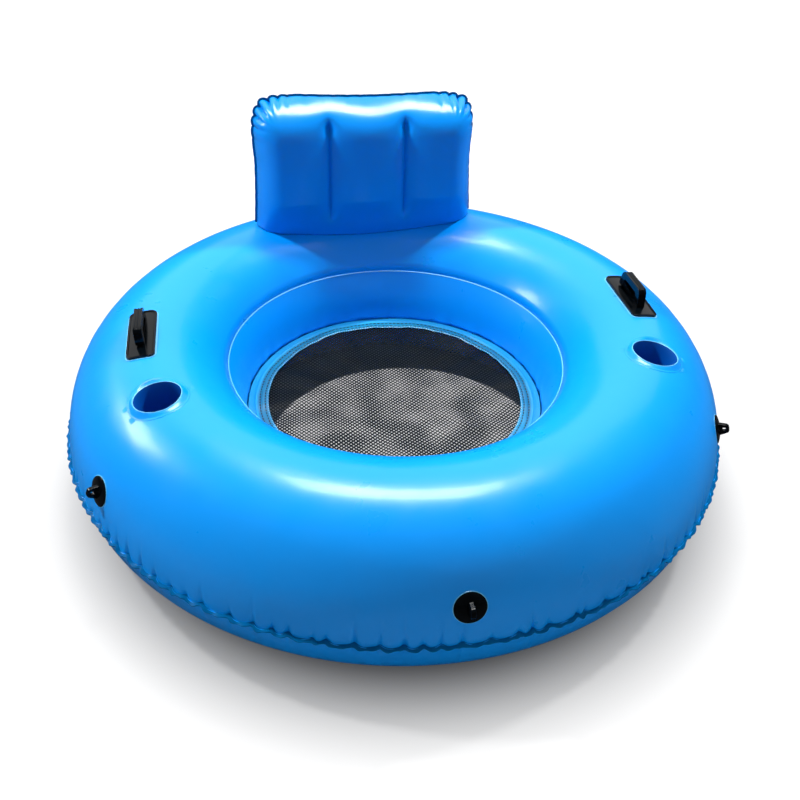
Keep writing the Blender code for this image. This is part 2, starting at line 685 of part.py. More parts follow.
def make_backrest():
    front = new_object("backrest_front_panel", between_grids(pillow_grid(True), pillow_lining(True, SKIN)))
    cut(front, tube_solid(GAP))
    dress(front, VINYL_BLUE)

    rear = new_object("backrest_rear_panel", between_grids(pillow_grid(False), pillow_lining(False, SKIN)))
    cut(rear, tube_solid(GAP + STRIP_SHEET + GAP))

    core_outer = pillow_lining(True, SKIN + GAP)
    low_rows = [row for row, height in enumerate(pillow_rows(True)) if height < BASE_TOP]
    trimmed = slice(1, len(pillow_columns()) - 1)
    core_outer = core_outer[low_rows, trimmed]
    core_inner = core_outer.copy()
    core_inner[..., 1] = -BASE_REAR
    core_outer[..., 1] = np.minimum(core_outer[..., 1], -BASE_FRONT)
    base = new_object("backrest_base_panel", between_grids(core_outer, core_inner))
    keep_inside(base, tube_solid(GAP + SKIN))
    cut(base, tube_solid(GAP))
    dress(base, VINYL_BLUE)

    for name, side in (("backrest_left_web", -1), ("backrest_right_web", 1)):
        make_web(name, side)

    strip = bmesh.new()
    spot = Matrix.Translation((0, BACK_Y + STRIP_WIDTH / 2, CREST_Z))
    bmesh.ops.create_cube(strip, size=1.0,
                          matrix=spot @ Matrix.Diagonal((STRIP_LENGTH, STRIP_WIDTH, 2 * PASS, 1)))
    strip = cut(new_object("backrest_weld_strip", strip), tube_solid(GAP))
    keep_inside(strip, tube_solid(GAP + STRIP_SHEET))
    dress(strip, VINYL_BLUE)
    return rear


def web_edge(front):
    """Points (depth, height) just inside a panel along the groove, at the panel's own rows."""
    skin = pillow_lining(front, SKIN + 2 * GAP)[:, pillow_columns().index(WEB_X)]
    inside = [height for height in skin[:, 2] if WEB_LOW < height < WEB_HIGH]
    heights = [WEB_LOW] + inside + [WEB_HIGH]
    return [(float(np.interp(height, skin[:, 2], skin[:, 1])), float(height)) for height in heights]


def make_web(name, side):
    """A flat web inside the pillow that ties its front to its rear."""
    outline = web_edge(True) + web_edge(False)[::-1]
    web = bmesh.new()
    for x in (side * WEB_X - SKIN / 2, side * WEB_X + SKIN / 2):
        web.faces.new([web.verts.new(in_world((x, depth, height))) for depth, height in outline])
    web.verts.ensure_lookup_table()
    count = len(outline)
    for index in range(count):
        after = (index + 1) % count
        web.faces.new([web.verts[spot] for spot in (index, after, after + count, index + count)])
    new_object(name, web, VINYL_DEEP)


# Main valve
def make_main_valve(panel):
    frame = ring_frame(VALVE_TURN, VALVE_ANGLE)
    cut(panel, new_object("valve_hole", place(rod(NECK_BORE, -PASS, PASS), frame)))
    base = weld_flange("main_valve_base", VALVE_FLANGE, VALVE_FLANGE_SHEET, frame)
    join(base, on_skin("neck", rod(NECK_RADIUS, -ROOT, NECK_HEIGHT), frame))
    cut(base, new_object("bore", place(rod(NECK_BORE, -PASS, PASS), frame)))
    dress(base, VALVE_BLUE)

    tube = NECK_BORE - GAP
    lip_low = NECK_HEIGHT + GAP
    lip_top = lip_low + INSERT_LIP
    profile = [(tube - INSERT_WALL, INSERT_FOOT), (tube, INSERT_FOOT), (tube, lip_low)]
    profile += [(NECK_RADIUS, lip_low), (NECK_RADIUS, lip_top), (tube - INSERT_WALL, lip_top)]
    insert = new_object("main_valve_insert", place(turned(profile, SMALL_SIDES), frame))
    hub_low = INSERT_FOOT + HUB_RISE
    spokes = new_object("spokes", place(rod(HUB_RADIUS, hub_low, hub_low + SPOKE, 12), frame))
    for step in range(3):
        bar = bmesh.new()
        reach = tube - INSERT_WALL / 2
        lie = Matrix.Rotation(math.tau * step / 3, 4, "Z")
        lie = lie @ Matrix.Translation((reach / 2, 0, hub_low + SPOKE / 2))
        lie = lie @ Matrix.Diagonal((reach, 1.5 * SPOKE, 0.8 * SPOKE, 1))
        bmesh.ops.create_cube(bar, size=1.0, matrix=lie)
        join(spokes, new_object("bar", place(bar, frame)))
    join(insert, spokes)
    cut(insert, new_object("hub_hole", place(rod(STEM_RADIUS + GAP, 0.0, NECK_HEIGHT, 12), frame)))
    dress(insert, VALVE_BLUE)

    flap_top = INSERT_FOOT - GAP
    button = hub_low + SPOKE + GAP
    profile = [(0.0, flap_top - FLAP_SHEET), (tube - GAP, flap_top - FLAP_SHEET), (tube - GAP, flap_top),
               (STEM_RADIUS, flap_top), (STEM_RADIUS, button), (STEM_RADIUS * 1.7, button),
               (STEM_RADIUS * 1.2, button + STEM_RADIUS), (0.0, button + STEM_RADIUS)]
    new_object("main_valve_flap", place(turned(profile, SMALL_SIDES, closed=False), frame), BLACK_MOULDING)

    cap_low = lip_top + GAP
    cap_high = cap_low + CAP_TOP
    skirt = NECK_RADIUS + GAP
    outline = []
    for step in range(CAP_RIBS * 4):
        radius = skirt + CAP_WALL - (CAP_RIB if step % 4 > 1 else 0.0)
        turn = math.tau * step / (CAP_RIBS * 4)
        outline.append((radius * math.cos(turn), radius * math.sin(turn)))
    cap = new_object("main_valve_cap", place(prism(outline, CAP_SKIRT, cap_high), frame))
    cut(cap, new_object("cap_bore", place(rod(skirt, 0.0, cap_low), frame)))
    head = cap_high + STUD_HEIGHT
    profile = [(0.0, cap_high - CAP_TOP / 2), (STUD_RADIUS, cap_high - CAP_TOP / 2), (STUD_RADIUS, head),
               (STUD_HEAD, head), (STUD_HEAD * 0.8, head + STUD_HEAD_SHEET), (0.0, head + STUD_HEAD_SHEET)]
    join(cap, new_object("stud", place(turned(profile, 12, closed=False), frame)))
    dress(cap, VALVE_BLUE)

    collar_low = VALVE_FLANGE_SHEET + 3 * GAP
    eyelet_low = cap_high + GAP
    mid_low = collar_low + TETHER_SHEET / 2
    mid_high = eyelet_low + TETHER_SHEET / 2

    def washer(name, inner, low):
        profile = [(inner, low), (inner + TETHER_RING, low), (inner + TETHER_RING, low + TETHER_SHEET),
                   (inner, low + TETHER_SHEET)]
        return new_object(name, place(turned(profile, SMALL_SIDES), frame))

    tether = washer("main_valve_tether", skirt, collar_low)
    bend = (mid_high - mid_low) / 2
    middle = (mid_low + mid_high) / 2
    path = [(skirt + TETHER_RING * 0.4, mid_low)]
    for step in range(STRAP_STEPS + 1):
        turn = math.pi * step / STRAP_STEPS
        path.append((TETHER_REACH - bend + bend * math.sin(turn), middle - bend * math.cos(turn)))
    path.append((STUD_RADIUS + GAP + TETHER_RING * 0.5, mid_high))
    join(tether, new_object("strap", place(ribbon(path, TETHER_SHEET, TETHER_WIDTH), frame)))
    join(tether, washer("eyelet", STUD_RADIUS + GAP, eyelet_low))
    dress(tether, VALVE_BLUE)
    return frame


# Backrest valve
def rear_frame(x, height):
    """The frame on the backrest's rear skin: Z out of the skin, X across the backrest."""
    step = 0.004

    def skin(across, up):
        depth = GAP / 2 + SKIN + swell(x + across, height + up, False)
        return in_world((x + across, depth, height + up))

    along = (skin(step, 0) - skin(-step, 0)).normalized()
    up = (skin(0, step) - skin(0, -step)).normalized()
    out = along.cross(up).normalized()
    if out.y < 0:
        out = -out
    side = up.cross(out).normalized()
    frame = Matrix((side, out.cross(side), out)).transposed().to_4x4()
    frame.translation = skin(0, 0)
    return frame


def make_backrest_valve(rear):
    frame = rear_frame(STOPPER_X, STOPPER_HEIGHT)
    cut(rear, new_object("stopper_hole", place(rod(STOPPER_TUBE + GAP, -ROOT, ROOT), frame)))
    dress(rear, VINYL_BLUE)
    base = new_object("backrest_valve_base", place(rod(STOPPER_FLANGE, -ROOT, ROOT), frame))
    cut(base, pillow_solid(False, GAP))
    keep_inside(base, pillow_solid(False, GAP + STOPPER_FLANGE_SHEET))
    top = STOPPER_FLANGE_SHEET + GAP
    join(base, new_object("tube", place(rod(STOPPER_TUBE, -STOPPER_LENGTH, top), frame)))
    cut(base, new_object("stopper_bore", place(rod(STOPPER_BORE, -PASS, PASS), frame)))
    dress(base, VALVE_BLUE)

    bung = STOPPER_BORE - PLUG_PLAY
    head = top + GAP
    nose = -STOPPER_LENGTH * 0.8
    profile = [(0.0, nose), (bung * 0.85, nose), (bung, nose * 0.75), (bung, head), (PLUG_HEAD, head),
               (PLUG_HEAD, head + PLUG_HEAD_SHEET * 0.7), (PLUG_HEAD * 0.85, head + PLUG_HEAD_SHEET),
               (0.0, head + PLUG_HEAD_SHEET)]
    new_object("backrest_valve_plug", place(turned(profile, SMALL_SIDES, closed=False), frame), VALVE_BLUE)

    foot = STOPPER_FLANGE - 0.0015
    start = PLUG_HEAD + 2 * GAP
    high, low = head + PLUG_HEAD_SHEET / 2, top + STRAP_SHEET / 2
    path = []
    for step in range(STRAP_STEPS + 1):
        share = step / STRAP_STEPS
        rise = STRAP_RISE * math.sin(math.pi * share)
        path.append((start + (foot - start) * share, high + (low - high) * share + rise))
    new_object("backrest_valve_strap", place(ribbon(path, STRAP_SHEET, STRAP_WIDTH), frame), VALVE_BLUE)
    return frame


def hang_on(empty_name, point, names):
    """Puts the named objects under an empty at a joint's axis, where they stay in place."""
    empty = bpy.data.objects.new(empty_name, None)
    empty.location = point
    bpy.context.scene.collection.objects.link(empty)
    for name in names:
        obj = bpy.data.objects[name]
        obj.data.transform(Matrix.Translation(-Vector(point)))
        obj.parent = empty


top_panel, inner_panel, bottom_panel = make_tube_panels()
make_seat()
make_cup("left_cup_well", 180.0 + CUP_TURN, top_panel)
make_cup("right_cup_well", -CUP_TURN, top_panel)
make_handle("left_handle", 180.0 - HANDLE_TURN)
make_handle("right_handle", HANDLE_TURN)
make_lug("front_rope_lug", -90.0)
make_lug("front_left_rope_lug", -90.0 - LUG_SPREAD)
make_lug("front_right_rope_lug", -90.0 + LUG_SPREAD)
make_lug("rear_rope_lug", 90.0)
make_lug("rear_left_rope_lug", 90.0 + REAR_LUG_SPREAD)
make_lug("rear_right_rope_lug", 90.0 - REAR_LUG_SPREAD)
valve_frame = make_main_valve(top_panel)
dress(top_panel, VINYL_BLUE)
rear_panel = make_backrest()
stopper_frame = make_backrest_valve(rear_panel)

hang_on("backrest_hinge", (0.0, BACK_Y, HINGE_Z),
        ["backrest_front_panel", "backrest_rear_panel", "backrest_base_panel", "backrest_left_web",
         "backrest_right_web", "backrest_valve_base", "backrest_valve_strap"])
hang_on("main_valve_cap_axis", valve_frame.translation, ["main_valve_cap"])
hang_on("backrest_valve_axis", stopper_frame.translation, ["backrest_valve_plug"])
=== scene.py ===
import math
import random

import bmesh
import bpy
import numpy as np
from mathutils import Matrix, Vector


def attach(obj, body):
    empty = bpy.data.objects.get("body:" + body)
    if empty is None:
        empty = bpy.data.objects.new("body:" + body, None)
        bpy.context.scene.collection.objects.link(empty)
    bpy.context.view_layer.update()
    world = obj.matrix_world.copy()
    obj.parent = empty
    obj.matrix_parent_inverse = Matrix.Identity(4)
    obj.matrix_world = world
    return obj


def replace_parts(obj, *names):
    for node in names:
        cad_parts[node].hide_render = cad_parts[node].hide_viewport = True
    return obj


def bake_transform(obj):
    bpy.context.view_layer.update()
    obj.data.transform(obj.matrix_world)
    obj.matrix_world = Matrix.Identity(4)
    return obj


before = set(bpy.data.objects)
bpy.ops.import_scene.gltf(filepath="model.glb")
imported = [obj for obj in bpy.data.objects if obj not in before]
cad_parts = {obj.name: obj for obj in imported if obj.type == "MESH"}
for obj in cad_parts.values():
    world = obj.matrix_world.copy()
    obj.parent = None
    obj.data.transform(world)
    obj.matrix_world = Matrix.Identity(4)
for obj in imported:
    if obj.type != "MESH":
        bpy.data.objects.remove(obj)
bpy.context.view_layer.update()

# Lengths are in metres. Turns and section angles are in degrees, unless a line says otherwise.

# The tube, as in the solids
RING = 0.476            # ring centre to centre of the tube section
HALF_WIDTH = 0.174
OUTER = RING + HALF_WIDTH
AXIS_Z = 0.130
RISE = 0.198
DROP = 0.1312
BOTTOM_FULLNESS = 2.33  # exponent of the section's lower half, where 2 is an ellipse
SHEET = 0.0006
SEAT_SEAM_Z = 0.136
INNER_SEAM = 145.0      # section angle of the lapped seam
SEAT_SEAM = 178.3
FIN = 0.007
PUCKER_STEPS, BOTTOM_STEPS, RING_STEPS = 1360, 1200, 480    # steps round the ring

# The seat
BAND_INNER, BAND_OUTER = 0.260, 0.3015
BAND_Z = 0.1369
BAND_TOP = BAND_Z + 0.0008
BAND_LIFT = 0.0035      # the band's inner edge stands higher than its outer edge
HEM_START, HEM_END = 0.280, 0.284    # the net's hem, under the band, shows darker out to here
NET_RADIUS, NET_SAG = 0.282, 0.004
NET_PITCH = 0.0068
NET_TURN = 0.897        # radians

# Fittings on the tube
CUP_RING, CUP_TURN = 0.499, 21.8
CUP_RADIUS, CUP_DEPTH, CUP_FLANGE = 0.042, 0.095, 0.0145
MOUTH_RADIUS, MOUTH_TILT = 0.0438, math.radians(4.0)
HANDLE_RING, HANDLE_TURN = 0.491, 2.0
LUG_ANGLE, LUG_SPREAD, REAR_LUG_SPREAD = 20.5, 64.5, 53.0
LUG_RADIUS = 0.0275
VALVE_TURN, VALVE_ANGLE = 125.0, 25.0
VALVE_REACH, VALVE_EASE = 0.040, 0.0019

# The backrest
BACK_Y = 0.440
HINGE_Z = 0.3294
BACK_WIDTH, BACK_HEIGHT = 0.488, 0.277
BACK_EDGE = BACK_WIDTH / 2
LEAN = math.radians(8.0)
FRONT_BULGE, REAR_BULGE = 0.076, 0.064
SIDE_ROUND, TOP_ROUND, REAR_FOOT = 0.060, 0.090, 0.110
WEB_X, WEB_LOW, WEB_HIGH = 0.083, 0.020, 0.232
CORNER = 0.058          # radius of the backrest's upper corners
BACK_FIN = 0.0045
FRONT_CLEAR, REAR_CLEAR = 0.0012, 0.0028  # from the tube; the weld strip lies under the rear skin

# The floor's pale parts, its painted shadow and its painted light patch, and the camera
PAINTED_SHADOW_START, PAINTED_SHADOW_END = 0.49, 0.77
PAINTED_LIGHT_RADIUS = 0.300
FOCAL, PHOTO_WIDTH, SENSOR = 1040.2, 800, 36.0    # the first two in pixels, the last in millimetres
SHIFT = (0.0066, -0.0016)
CAMERA_SPOT, CAMERA_AIM = (-0.346, -1.693, 1.428), (0, 0, 0.132)
CAMERA_ROLL = 0.031     # radians

rng = random.Random(7)


# Meshes

def link(obj):
    bpy.context.scene.collection.objects.link(obj)
    return obj


def finish_piece(name, bm, body, material, smooth=True, shape=None):
    """Turns a bmesh into a piece that rides on a body and takes its finish from a slot."""
    bmesh.ops.recalc_face_normals(bm, faces=bm.faces)
    mesh = bpy.data.meshes.new(name)
    bm.to_mesh(mesh)
    bm.free()
    if shape:
        points = np.empty(len(mesh.vertices) * 3)
        mesh.vertices.foreach_get("co", points)
        mesh.vertices.foreach_set("co", shape(points.reshape(-1, 3)).ravel())
        mesh.update()
    obj = link(bpy.data.objects.new(name, mesh))
    mesh.materials.append(material)
    if smooth:
        mesh.shade_smooth()
        mesh.set_sharp_from_angle(angle=math.radians(38))
    if body:
        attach(obj, body)
    return obj


def everything(bm):
    return bm.verts[:] + bm.edges[:] + bm.faces[:]


def repeat_round(bm, number):
    """Repeats what a bmesh holds round the Z axis, to that number in all."""
    bmesh.ops.spin(bm, geom=everything(bm), axis=(0, 0, 1), cent=(0, 0, 0), steps=number - 1,
                   angle=math.tau * (number - 1) / number, use_duplicate=True)


def spun(profile, steps, closed=False):
    """A bmesh of (radius, height) points turned about Z: one sector, repeated round the ring."""
    bm = bmesh.new()
    verts = [bm.verts.new((radius, 0.0, height)) for radius, height in profile]
    edges = [bm.edges.new(pair) for pair in zip(verts, verts[1:])]
    if closed:
        edges.append(bm.edges.new((verts[-1], verts[0])))
    sector = max(size for size in range(1, int(steps**0.5) + 1) if steps % size == 0)
    bmesh.ops.spin(bm, geom=verts + edges, axis=(0, 0, 1), cent=(0, 0, 0), steps=sector,
                   angle=math.tau * sector / steps)
    repeat_round(bm, steps // sector)
    bmesh.ops.remove_doubles(bm, verts=bm.verts, dist=1e-5)
    return bm


def rounded(corners, radius, steps=6):
    """The outline through the corners, each rounded by an arc."""
    outline = []
    for index, corner in enumerate(corners):
        here = Vector(corner)
        before = (Vector(corners[index - 1]) - here).normalized()
        after = (Vector(corners[(index + 1) % len(corners)]) - here).normalized()
        half = before.angle(after) / 2
        centre = here + (before + after).normalized() * (radius / math.sin(half))
        start = here + before * (radius / math.tan(half)) - centre
        end = here + after * (radius / math.tan(half)) - centre
        turn = start.angle_signed(end)
        for step in range(steps + 1):
            outline.append(tuple(centre + start @ Matrix.Rotation(turn * step / steps, 2)))
    return outline


def rounded_box(half, across, radius):
    return rounded([(-half, -across), (half, -across), (half, across), (-half, across)], radius)


def extruded(bm, faces, shift):
    """Extrudes faces and moves the new ones."""
    made = bmesh.ops.extrude_face_region(bm, geom=faces)["geom"]
    moved = [item for item in made if isinstance(item, bmesh.types.BMVert)]
    bmesh.ops.translate(bm, verts=moved, vec=shift)


def prism(outline, low, high):
    bm = bmesh.new()
    face = bm.faces.new([bm.verts.new((x, y, low)) for x, y in outline])
    extruded(bm, [face], (0, 0, high - low))
    return bm


def slices(bm, axis, places):
    """Cuts a bmesh across at the places, so that it can bend."""
    for place in places:
        at, normal = Vector((0, 0, 0)), Vector((0, 0, 0))
        at[axis], normal[axis] = place, 1
        bmesh.ops.bisect_plane(bm, geom=everything(bm), dist=1e-7, plane_co=at, plane_no=normal)


def skinned(bm, rings, closed):
    """Joins rings of points into a skin, the last to the first."""
    edges = []
    for ring in rings:
        verts = [bm.verts.new(point) for point in ring]
        pairs = zip(verts, verts[1:] + verts[:1]) if closed else zip(verts, verts[1:])
        edges.append([bm.edges.new(pair) for pair in pairs])
    for first, second in zip(edges, edges[1:] + edges[:1]):
        bmesh.ops.bridge_loops(bm, edges=first + second)


def add_modifier(obj, kind, **values):
    modifier = obj.modifiers.new(kind.title(), kind)
    for key, value in values.items():
        setattr(modifier, key, value)


def soften(obj, width, segments=2, angle=35.0):
    add_modifier(obj, "BEVEL", width=width, segments=segments, limit_method="ANGLE",
                 angle_limit=math.radians(angle), harden_normals=False)


def thicken(obj):
    add_modifier(obj, "SOLIDIFY", thickness=SHEET, offset=-1)


def smooth_step(x):
    x = np.clip(x, 0.0, 1.0)
    return x * x * (3 - 2 * x)


def rows(start, end, count):
    return [start + (end - start) * step / count for step in range(count + 1)]


def polar(points):
    """How far points lie from the Z axis, and their turn round it in radians."""
    return np.hypot(points[:, 0], points[:, 1]), np.arctan2(points[:, 1], points[:, 0])


# The tube's skin

def section(angle, offset=0.0):
    """The (radius, height) of the skin at a section angle: 0 outside, 90 crest, 180 inside."""
    turn = math.radians(angle)
    upper = math.sin(turn) >= 0
    full = 2.0 if upper else BOTTOM_FULLNESS
    height = RISE if upper else DROP
    across = math.copysign(abs(math.cos(turn)) ** (2 / full), math.cos(turn))
    along = math.copysign(abs(math.sin(turn)) ** (2 / full), math.sin(turn))
    normal = Vector((math.copysign(abs(across) ** (full - 1), across) / HALF_WIDTH,
                     math.copysign(abs(along) ** (full - 1), along) / height)).normalized()
    point = Vector((RING + HALF_WIDTH * across, AXIS_Z + height * along))
    if point.y < 0:     # the underside lies flat on the floor
        point.y = 0.0
        normal = Vector((0.0, -1.0))
    moved = point + normal * offset
    return (moved.x, moved.y)


def ring_frame(turn, angle):
    """The frame on the skin: X round the ring, Y up the section, Z out of the skin."""
    turn = math.radians(turn)
    near, far = Vector(section(angle)), Vector(section(angle, 1.0))
    normal = far - near
    outward = Vector((math.cos(turn), math.sin(turn), 0.0))
    across = outward * normal.x + Vector((0, 0, normal.y))
    along = outward * -normal.y + Vector((0, 0, normal.x))
    placed = Matrix((along.cross(across), along, across)).transposed().to_4x4()
    placed.translation = outward * near.x + Vector((0, 0, near.y))
    return placed


def crest_frame(turn, radius):
    """The frame on the upper skin at a distance from the ring's centre."""
    return ring_frame(turn, math.degrees(math.acos((radius - RING) / HALF_WIDTH)))


def in_place(placed):
    """A shape function that only moves a piece to its frame."""
    turn, shift = np.array(placed.to_3x3()), np.array(placed.translation)
    return lambda points: points @ turn.T + shift


def settled(placed, rigid_above=None, flat_within=None):
    """A shape function that bends a piece over the skin under it, then moves it to its frame.

    What lies above rigid_above, or nearer the middle than flat_within, keeps its own shape.
    """
    rigid_fade, flat_fade = 0.006, 0.009
    turn, shift = np.array(placed.to_3x3()), np.array(placed.translation)

    def depth(flat):
        rise = np.zeros(len(flat))
        for _ in range(8):
            world = np.column_stack((flat, rise)) @ turn.T + shift
            radius = np.hypot(world[:, 0], world[:, 1])
            side, up = (radius - RING) / HALF_WIDTH, (world[:, 2] - AXIS_Z) / RISE
            value = side**2 + up**2 - 1
            slope = 2 * side / HALF_WIDTH * (world[:, :2] @ turn[:2, 2]) / radius
            rise -= value / (slope + 2 * up / RISE * turn[2, 2])
        return rise

    def shape(points):
        bent = points.copy()
        follow = depth(points[:, :2])
        if rigid_above is not None:
            follow *= 1 - smooth_step((points[:, 2] - rigid_above) / rigid_fade)
        if flat_within is not None:
            follow *= smooth_step((np.hypot(points[:, 0], points[:, 1]) - flat_within) / flat_fade)
        bent[:, 2] += follow
        return bent @ turn.T + shift

    return shape


# The pucker of the outside seam: short creases, wider apart or closer, deep or faint
CREASES = 112
creases = []    # turn in radians, reach from the seam, depth, width and the seam's swing
for number in range(CREASES):
    place = math.tau * (number + rng.uniform(-0.34, 0.34)) / CREASES
    long = rng.random() < 0.35
    reach = rng.uniform(0.022, 0.040) if long else rng.uniform(0.008, 0.016)
    creases.append((place, reach, rng.uniform(0.0024, 0.0046), rng.uniform(0.0030, 0.0050),
                    rng.uniform(0.0022, 0.0046)))
creases = np.array(creases)


def seam_pucker(points, fin=False):
    """Moves the skin near the outside seam: creases drawn in, full between them, the seam wavy."""
    moved = points.copy()
    radius, turn = polar(points)
    turn = turn % math.tau
    away = np.abs(points[:, 2] - AXIS_Z)
    near = (away < 0.09) & (radius > RING)
    turn, away, outer = turn[near], away[near], radius[near]
    right = np.searchsorted(creases[:, 0], turn) % CREASES
    left = (right - 1) % CREASES
    gap_left = (turn - creases[left, 0]) % math.tau
    gap_right = (creases[right, 0] - turn) % math.tau
    share = gap_left / (gap_left + gap_right)
    inward = np.zeros(len(turn))
    for side, gap in ((left, gap_left), (right, gap_right)):
        length, depth, width = creases[side, 1], creases[side, 2], creases[side, 3]
        across = gap * outer / (width * (0.6 + 0.9 * np.exp(-away / 0.006)))
        inward += depth * np.exp(-across**2) * np.exp(-(away / length) ** 1.6)
    inward *= 1 - smooth_step((away - 0.050) / 0.032)
    full = 0.0020 * np.sin(math.pi * share) ** 0.7 * np.exp(-away / 0.013)
    peak = 0.38     # where the seam's wave is highest, between two creases
    wave = np.where(share < peak, smooth_step(share / peak), 1 - smooth_step((share - peak) / (1 - peak)))
    swing = creases[left, 4] * (1 - share) + creases[right, 4] * share
    drop = -swing * (wave - 0.5) * np.exp(-away / 0.014)
    change = full - inward
    if fin:
        change = change * 0.7 + 0.0012 * np.sin(turn * 173.0)
        out = np.clip(outer - OUTER, 0, FIN) / FIN
        drop = drop + out * 0.0012 * np.sin(turn * 97.0 + 1.0)
    moved[near, 0] *= (outer + change) / outer
    moved[near, 1] *= (outer + change) / outer
    moved[near, 2] += drop
    return moved


def seat_pucker(points):
    """A slower, shallower pucker along the seam that carries the seat."""
    moved = points.copy()
    radius, turn = polar(points)
    away = np.abs(points[:, 2] - SEAT_SEAM_Z)
    near = (radius < RING - 0.5 * HALF_WIDTH) & (away < 0.08)
    wave = np.sin(turn * 31.0 + 2.0 * np.sin(turn * 5.0)) + 0.6 * np.sin(turn * 53.0 + 1.3)
    change = 0.0008 * wave * np.exp(-away / 0.016)
    scale = np.where(near, (radius + change) / np.maximum(radius, 1e-6), 1.0)
    moved[:, :2] *= scale[:, None]
    return moved


def eased(points):
    """Draws the skin in a little under the air valve, as its stiff flange flattens it."""
    centre, out = np.array(valve_frame.translation), np.array(valve_frame.col[2][:3])
    gap = np.linalg.norm(points - centre, axis=1)
    near = 1 - smooth_step((gap - 0.55 * VALVE_REACH) / (0.75 * VALVE_REACH))
    return points - out * (VALVE_EASE * near)[:, None]


cup_frames = {"left": crest_frame(180.0 + CUP_TURN, CUP_RING), "right": crest_frame(-CUP_TURN, CUP_RING)}
handle_frames = {"left": crest_frame(180.0 - HANDLE_TURN, HANDLE_RING),
                 "right": crest_frame(HANDLE_TURN, HANDLE_RING)}
lug_turns = {"front": -90.0, "front_left": -90.0 - LUG_SPREAD, "front_right": -90.0 + LUG_SPREAD,
             "rear": 90.0, "rear_left": 90.0 + REAR_LUG_SPREAD, "rear_right": 90.0 - REAR_LUG_SPREAD}
valve_frame = ring_frame(VALVE_TURN, VALVE_ANGLE)


# Nodes

def fill(tree, node, inputs):
    """Links or sets a node's inputs, by name or by number."""
    for key, value in inputs.items():
        if isinstance(value, bpy.types.NodeSocket):
            tree.links.new(value, node.inputs[key])
        else:
            node.inputs[key].default_value = value


def add_node(tree, kind, inputs=None, **values):
    node = tree.nodes.new(kind)
    for key, value in values.items():
        setattr(node, key, value)
    fill(tree, node, inputs or {})
    return node


def mixed(tree, factor, low, high):
    return add_node(tree, "ShaderNodeMix", {0: factor, 6: low, 7: high}, data_type="RGBA").outputs[2]


def maths(tree, operation, first, second):
    return add_node(tree, "ShaderNodeMath", {0: first, 1: second}, operation=operation).outputs[0]


def ramp(tree, value, start, end, low=0.0, high=1.0, kind="LINEAR"):
    """Maps start and end to low and high, with the values beyond them held."""
    inputs = {"Value": value, "From Min": start, "From Max": end, "To Min": low, "To Max": high}
    return add_node(tree, "ShaderNodeMapRange", inputs, interpolation_type=kind).outputs[0]


def object_place(tree):
    return add_node(tree, "ShaderNodeTexCoord").outputs["Object"]


def distance(tree, place, spot):
    return add_node(tree, "ShaderNodeVectorMath", {0: place, 1: spot}, operation="DISTANCE").outputs["Value"]


def noise(tree, place, scale, detail):
    inputs = {"Vector": place, "Scale": scale, "Detail": detail}
    return add_node(tree, "ShaderNodeTexNoise", inputs).outputs[0]


def bump(tree, height, strength, reach, **under):
    inputs = {"Height": height, "Strength": strength, "Distance": reach, **under}
    return add_node(tree, "ShaderNodeBump", inputs).outputs[0]


# Node groups

SURFACE = {"Colour": "NodeSocketColor", "Roughness": "NodeSocketFloat", "Normal": "NodeSocketVector"}


def node_group(name, inputs, outputs):
    """A node group with what it is given and its output node. Inputs are named with first values."""
    tree = bpy.data.node_groups.new(name, "ShaderNodeTree")
    for label, value in inputs.items():
        kind = "NodeSocketColor" if isinstance(value, tuple) else "NodeSocketFloat"
        tree.interface.new_socket(name=label, in_out="INPUT", socket_type=kind).default_value = value
    for label, kind in outputs.items():
        tree.interface.new_socket(name=label, in_out="OUTPUT", socket_type=kind)
    return tree, tree.nodes.new("NodeGroupInput").outputs, tree.nodes.new("NodeGroupOutput")


def film_group():
    """Soft vinyl film: slow drifts of colour and gloss, a faint ripple and a fine orange-peel."""
    tree, given, out = node_group(
        "vinyl_film", {"Colour": (0, 0, 1, 1), "Drift Colour": (0, 0, 1, 1), "Drift": 0.3,
                       "Roughness": 0.3, "Ripple": 0.2}, SURFACE)
    place = object_place(tree)
    share = maths(tree, "MULTIPLY", ramp(tree, noise(tree, place, 2.6, 2.0), 0.35, 0.68), given["Drift"])
    haze = ramp(tree, noise(tree, place, 14.0, 4.0), 0.3, 0.7, -0.03, 0.05)
    ripple = bump(tree, noise(tree, place, 22.0, 1.0), given["Ripple"], 0.004)
    peel = bump(tree, noise(tree, place, 160.0, 1.0), 0.03, 0.0004, Normal=ripple)
    fill(tree, out, {"Colour": mixed(tree, share, given["Colour"], given["Drift Colour"]),
                     "Roughness": maths(tree, "ADD", haze, given["Roughness"]), "Normal": peel})
    return tree


def moulding_group():
    """Moulded soft plastic: a fine spark-eroded grain, worn rougher and paler in patches."""
    tree, given, out = node_group(
        "moulded_grain", {"Colour": (0, 0, 0, 1), "Worn Colour": (0.02, 0.02, 0.02, 1),
                          "Roughness": 0.3, "Grain": 0.3}, SURFACE)
    place = object_place(tree)
    worn = ramp(tree, noise(tree, place, 60.0, 5.0), 0.5, 0.75)
    rougher = maths(tree, "MULTIPLY", worn, 0.10)
    grain = add_node(tree, "ShaderNodeTexVoronoi", {"Vector": place, "Scale": 900.0}).outputs[0]
    fill(tree, out, {"Colour": mixed(tree, worn, given["Colour"], given["Worn Colour"]),
                     "Roughness": maths(tree, "ADD", rougher, given["Roughness"]),
                     "Normal": bump(tree, grain, given["Grain"], 0.0003)})
    return tree


